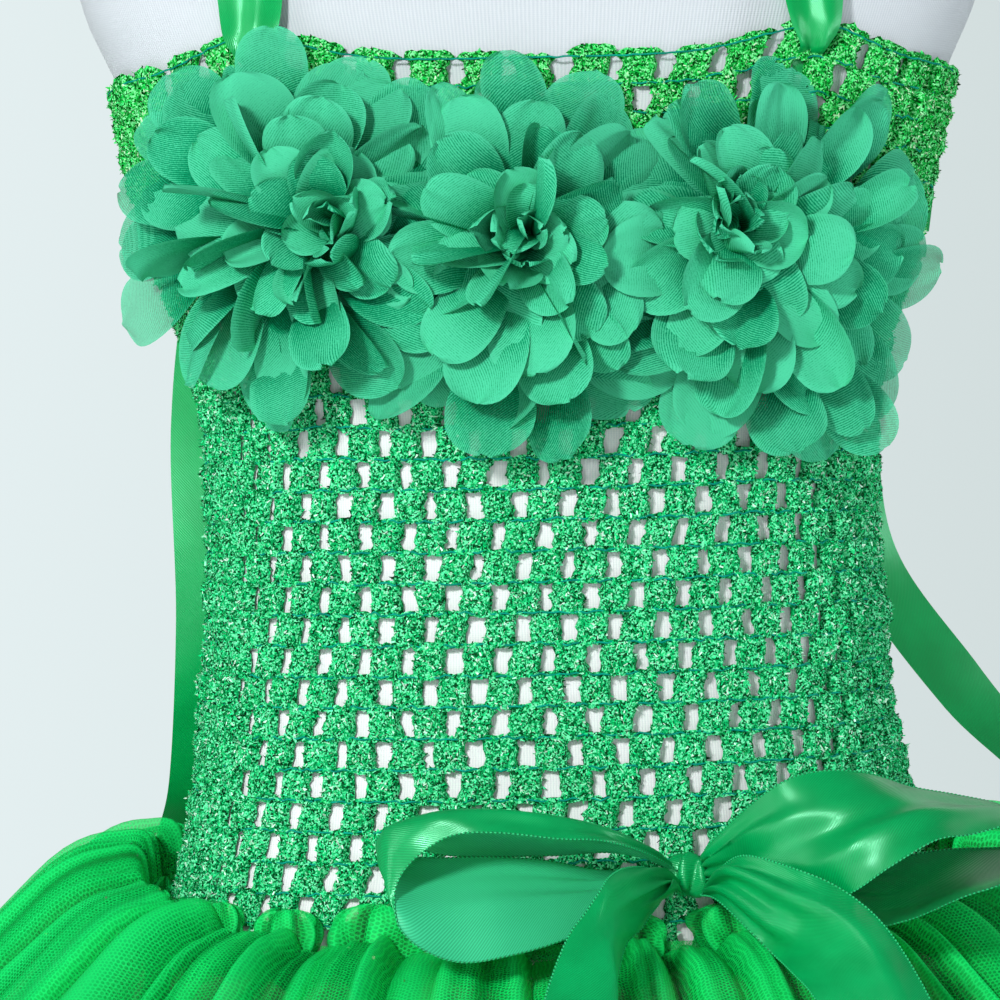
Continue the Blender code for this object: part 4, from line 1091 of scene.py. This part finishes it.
def shoulderPoints(x, tilt, out):
    # out along a ray at this tilt until the form's skin, by halving, then off it along the skin's own slope
    centre = together(x, 0.0, dress["waistZ"] + strap["centre"])
    rise = np.radians(tilt)
    direction = together(0.0, -np.cos(rise), np.sin(rise)) + 0 * centre
    near, far = np.zeros(centre.shape[:-1]), np.full(centre.shape[:-1], strap["reach"])
    for _ in range(40):
        middle = (near + far) / 2
        point = centre + middle[..., None] * direction
        inside = (point[..., 2] < dress["waistZ"] + strap["neckFoot"]) & (insideForm(point) < 1)
        near, far = np.where(inside, middle, near), np.where(inside, far, middle)
    point = centre + near[..., None] * direction
    slope = together(*(insideForm(point + d) - insideForm(point - d) for d in np.eye(3) * 0.0005))
    return point + out[..., None] * unit(slope)


def buildStrap(side, hand):
    tilt, out, across, width = (column[:, None] for column in readRows(strapRows, strap["steps"]).T)
    s = np.linspace(-0.5, 0.5, strap["columns"])[None, :]
    spare = np.clip(1 - width / ribbon["strapWidth"], 0, 1)
    fold = np.sin(circle * (1.4 * s + 0.5) + 0.05 * tilt + 1.5 * hand) + 0.9
    fold = 0.0017 * spare**0.6 * fold * np.clip(out / 0.004, 0.1, 1)
    grid = shoulderPoints(hand * (across + s * width), tilt + 0 * s, out + fold + 0.0003)
    along = runAlong(grid[:, strap["columns"] // 2])
    uv = together(s * ribbon["strapWidth"], along[:, None])
    quads = gridQuads(*grid.shape[:2])[:, ::hand]
    piece = addPiece(f"strap{side.title()}", strapSatin, "satin_ribbon", [f"strap_{side}"], grid, quads, uv)


def buildBackBow(side, hand):
    angle = angleAt(hand * backBow["x"], backBow["height"], crochetOut, behind=True)
    seat = formPoints(angle, backBow["height"], crochetOut + dress["seatGap"])
    knot = seat + outward(angle, backBow["height"]) * backBow["knot"][1] / 2
    addKnot(f"backKnot{side.title()}", f"back_knot_{side}", knot, backBow["knot"], strapSatin)
    axes = np.diag([hand, 1.0, 1.0])
    for part in ("loop_outer", "loop_inner", "tail_outer", "tail_inner"):
        key = f"{part}_{side}" if part == "tail_outer" else part
        shape = ribbonGrid(key, knot, axes, ribbon["strapWidth"], 90, 2, 0.4, 0.0008)
        node = f"back_{part}_{side}"
        flip = (hand < 0) != ("tail" in part)
        addRibbon(pieceName(node), node, shape, strapSatin, flip)


buildWaistBow()
for side, hand in (("left", -1), ("right", 1)):
    buildStrap(side, hand)
    buildBackBow(side, hand)
whipPile.make("whippedEdges", whip)
print("ribbons made")


# Skirt: knotted strips of net in soft folds

# spread out from the form and drop above the tube's edge in millimetres, share of the lift, width share,
# fold depth in millimetres
stripRows = np.array([
    (6.6, 3.6, 0, 0.16, 0.3), (7.4, -1, 0, 0.22, 0.5), (8.6, -3, 0, 0.34, 1), (9.8, -1.8, 0.8, 0.46, 1.6),
    (16.5, -2.4, 0.92, 0.52, 2.8), (40, -14.5, 0.9, 0.58, 4.6), (87, -60, 0.5, 0.64, 5.2),
    (125, -165, 0.15, 0.64, 6.6), (158, -330, 0, 0.64, 8),
]) * (mm, mm, 1, 1, mm)
skirt = {
    "along": 60, "across": 41, "layers": 2, "layerStep": 0.0032, "folds": 2.1, "flat": (0.10, 0.80),
    "bundle": 0.0060, "bundleRow": 4.6, "bundleReach": 1.5, "hemRagged": 0.006, "hemWave": 0.004,
    "seed": 21, "sparkles": 420, "sparkleFrom": 14, "sparkleSize": 0.00035}
stripPuff = {
    "rings": 26, "around": 40, "wide": 0.48, "deep": 0.0046, "tall": 0.0104, "out": 0.0078, "height": 0.0034}
spacing = circle / dress["strips"]


def stripSurface(number, layer, rng):
    # folds fan out from the knot: sines across the strip whose depth grows towards the hem
    centre = front + (number + 0.5 + 0.5 * layer) * spacing
    t = np.linspace(0, len(stripRows) - 1, skirt["along"])[:, None]
    spread, drop, lift, width, depth = (column[:, None] for column in readRows(stripRows, skirt["along"]).T)
    s = np.linspace(-1, 1, skirt["across"])[None, :]
    grow = t / (len(stripRows) - 1)
    sway = 0.16 * rng.standard_normal() * grow
    sway = sway + 0.10 * rng.standard_normal() * np.sin(math.pi * np.clip(3 * grow, 0, 1))
    angle = centre + (s + sway) * width * spacing * (1.0 + 0.06 * rng.standard_normal())
    grid = formPoints(angle, np.maximum(drop, 0.0), spread)
    hem = skirt["hemRagged"] * rng.standard_normal()
    hem = hem + skirt["hemWave"] * np.sin(s * 2.2 + rng.random() * 6)
    lifted = lift * dress["skirtLift"] * np.clip(1.0 + 0.90 * np.sin(angle), 0.1, 1.0)
    grid[..., 2] = dress["waistZ"] + drop + lifted + np.maximum(hem, -0.001) * grow**3
    normal = gridNormals(grid)
    if (normal[..., :2] * grid[..., :2]).sum() < 0:
        normal = -normal
    phase = rng.random(4) * circle
    folds = math.pi * (skirt["folds"] + 0.6 * rng.standard_normal()) * s
    turns = rng.standard_normal(3) * 3.0
    wave = np.sin(folds + phase[0] + 0.5 * np.sin(3 * grow + phase[1]))
    wave = wave + 0.50 * np.sin(1.7 * folds + phase[2] + turns[0] * grow)
    fine = 0.16 * np.sin(2.9 * folds + phase[3] + turns[1] * grow)
    wave = wave + fine * (1 + 0.8 * np.sin(3 * s + turns[2]))
    puff = 0.5 * np.cos(math.pi * s)
    shade = np.clip(0.5 + 0.34 * wave * np.clip(depth / 0.002, 0, 1) + 0.3 * puff, 0, 1)
    # every second strip, and the second layer of each, lies further in
    inner = 0.35 * (number % 2) + 1.3 * layer
    tuck = skirt["layerStep"] * inner * np.clip(depth / 0.0025, 0, 1)
    bundle = skirt["bundle"] * np.exp(-(((t - skirt["bundleRow"]) / skirt["bundleReach"]) ** 2))
    grid = grid + normal * (0.58 * depth * wave + (0.8 * depth + bundle) * puff - tuck)[..., None]
    along = runAlong(grid[:, skirt["across"] // 2])[:, None] + 0.37 * layer
    wide = 0.5 * np.linalg.norm(grid[:, -1] - grid[:, 0], axis=-1)[:, None]
    return grid, together(s * np.maximum(wide, 0.014) + 0.11 * number, along), shade


def stripKnot(number, rng):
    # the puff of net round the lowest rows: a bulb, broad above and pinched at its foot,
    # with creases that run up from the pinch
    centre = front + (number + 0.5) * spacing
    rings, around = stripPuff["rings"], stripPuff["around"]
    v = np.linspace(-0.985, 0.985, rings)[:, None]
    turn = np.linspace(0, circle, around, endpoint=False)[None, :]
    lean = 0.10 * rng.standard_normal()
    size = 1 + 0.10 * rng.standard_normal()
    body = np.sqrt(1 - v**2) ** 0.7 * (0.66 + 0.34 * v)
    wrinkle = 1 + 0.16 * np.sin(6 * turn + 1.5 * v + rng.random() * 6)
    wrinkle = wrinkle + 0.10 * np.sin(11 * turn - 3 * v + rng.random() * 6)
    sideways = spacing * (stripPuff["wide"] * size * body * np.cos(turn) * wrinkle + lean * v)
    out = stripPuff["out"] + stripPuff["deep"] * body * np.sin(turn) * wrinkle
    height = stripPuff["height"] + stripPuff["tall"] * size * v + 0.0014 * rng.standard_normal()
    height = height + 0.0010 * np.cos(turn * 2 + rng.random() * 6) * body
    grid = formPoints(centre + sideways, np.maximum(height, 0.0), out)
    grid[..., 2] = dress["waistZ"] + height
    uv = together(turn * 0.009, v * 0.014)
    shade = np.clip(0.45 + 2.2 * (wrinkle - 1) + 0.15 * v, 0, 1)
    return grid, gridQuads(rings, around, False, True), uv, shade


def buildSkirt():
    rng = np.random.default_rng(skirt["seed"])
    places = []
    for number in range(dress["strips"]):
        pile = Pile()
        for layer in range(skirt["layers"]):
            grid, uv, shade = stripSurface(number, layer, rng)
            # the second layer is painted darker, as shade under the first
            pile.add(grid, gridQuads(*grid.shape[:2]), uv, shade + 0.2 * rng.random() - 0.1 - 0.2 * layer)
            places.append(grid[skirt["sparkleFrom"]:, 2:-2].reshape(-1, 3))
        pile.add(*stripKnot(number, rng))
        node = f"tulle_strip_{number + 1:02d}"
        piece = pile.make(pieceName(node), tulle, [node])
    addSparkles(np.concatenate(places), rng)


def addSparkles(places, rng):
    # tiny square flakes lie on the net, each turned its own way
    chosen = places[rng.choice(len(places), skirt["sparkles"], replace=False)]
    normal = unit(rng.standard_normal(chosen.shape) * 0.6 + unit(chosen * np.array([1.0, 1.0, 0.0])))
    side = unit(np.cross(normal, rng.standard_normal(chosen.shape)))
    other = np.cross(normal, side)
    turn = (np.arange(4) * circle / 4)[None, :, None]
    radius = skirt["sparkleSize"] * (1 + rng.random(len(chosen)))[:, None, None]
    corners = np.cos(turn) * side[:, None] + np.sin(turn) * other[:, None]
    corners = chosen[:, None] + normal[:, None] * 0.0004 + radius * corners
    lot = np.repeat(rng.random(len(chosen)), 4)
    quads = np.arange(len(lot)).reshape(-1, 4)
    addPiece("skirtSparkles", sparkle, "tulle", [], corners, quads, together(lot, lot))


buildSkirt()
print("skirt made")


# Camera, lights and floor

view = {"aim": (-0.012, 0.0, 0.603), "distance": 1.5, "elevation": 1.2, "lens": 187.0, "roll": 1.3}
# Lamps: name, place, size, power and colour
lamps = [
    ("key", (-1.05, -2.35, 1.55), 0.42, 56.0, (1.0, 1.0, 0.99)),
    ("front", (0.25, -2.6, 0.70), 1.1, 9.0, (0.98, 0.99, 1.0)),
    ("left", (-2.4, -0.9, 1.2), 1.5, 15.0, (1.0, 1.0, 1.0)),
    ("right", (2.9, -0.7, 0.90), 1.2, 34.0, (0.98, 0.99, 1.0)),
    ("rim", (0.6, 2.4, 2.0), 1.4, 5.0, (1.0, 1.0, 1.0)),
]
lampAim = Vector((0.0, 0.0, 0.58))


def addObject(name, data):
    made = bpy.data.objects.new(name, data)
    bpy.context.scene.collection.objects.link(made)
    return made


def buildCamera():
    # the roll turns the camera clockwise, so that the form leans a little to the left
    aim = Vector(view["aim"])
    rise = math.radians(view["elevation"])
    place = aim + view["distance"] * Vector((0.0, -math.cos(rise), math.sin(rise)))
    ahead = (aim - place).normalized()
    right = ahead.cross(Vector((0, 0, 1))).normalized()
    up = right.cross(ahead)
    roll = math.radians(view["roll"])
    right, up = right * math.cos(roll) - up * math.sin(roll), up * math.cos(roll) + right * math.sin(roll)
    data = bpy.data.cameras.new("camera")
    data.lens = view["lens"]
    data.sensor_width = 36.0
    data.clip_start, data.clip_end = 0.05, 50.0
    camera = addObject("camera", data)
    axes = Matrix((right, up, -ahead)).transposed()
    camera.matrix_world = Matrix.Translation(place) @ axes.to_4x4()
    bpy.context.scene.camera = camera
    bpy.context.scene.view_settings.view_transform = "Standard"


def buildLights():
    for name, place, size, power, colour in lamps:
        data = bpy.data.lights.new(name, "AREA")
        data.shape = "DISK"
        data.size = size
        data.energy = power
        data.color = colour
        light = addObject(name, data)
        light.location = place
        light.rotation_euler = (lampAim - Vector(place)).to_track_quat("-Z", "Y").to_euler()
    # the camera sees a pale backdrop with painted shade, greyer to the right where the lamps' light falls
    # off, and the cloth a dim even sky
    world = bpy.data.worlds.new("studio")
    bpy.context.scene.world = world
    world.use_nodes = True
    sky = Nodes(world.node_tree)
    sky.tree.nodes.clear()
    share = sky.fade(sky.parts(sky.add("TexCoord").outputs["Generated"])[0], -0.10, 0.10)
    colour = sky.mix(share, (0.775, 0.865, 0.875, 1), (0.650, 0.730, 0.730, 1))
    seen = sky.add("Background", {"Color": colour, "Strength": 1.0}).outputs[0]
    around = sky.add("Background", {"Color": (0.93, 0.96, 1.0, 1), "Strength": 0.12}).outputs[0]
    mixed = sky.add("MixShader", {0: sky.add("LightPath").outputs["Is Camera Ray"], 1: around, 2: seen})
    sky.add("OutputWorld", {"Surface": mixed.outputs[0]})


def buildFloor():
    under = -0.0005
    rings, quads = turned([(radius, under) for radius in (0.01, 0.5, 1.5, 3.3)], 96)
    mesh = bpy.data.meshes.new("floor")
    mesh.from_pydata(rings.tolist(), [], quads.tolist() + [list(range(96))])
    pale = (0.70, 0.73, 0.75), (0.74, 0.77, 0.79)
    mesh.materials.append(paleMaterial("paleFloor", 0.6, *pale, Roughness=0.7)[0].material)
    addObject("floor", mesh)


buildCamera()
buildLights()
buildFloor()
print("stage made")
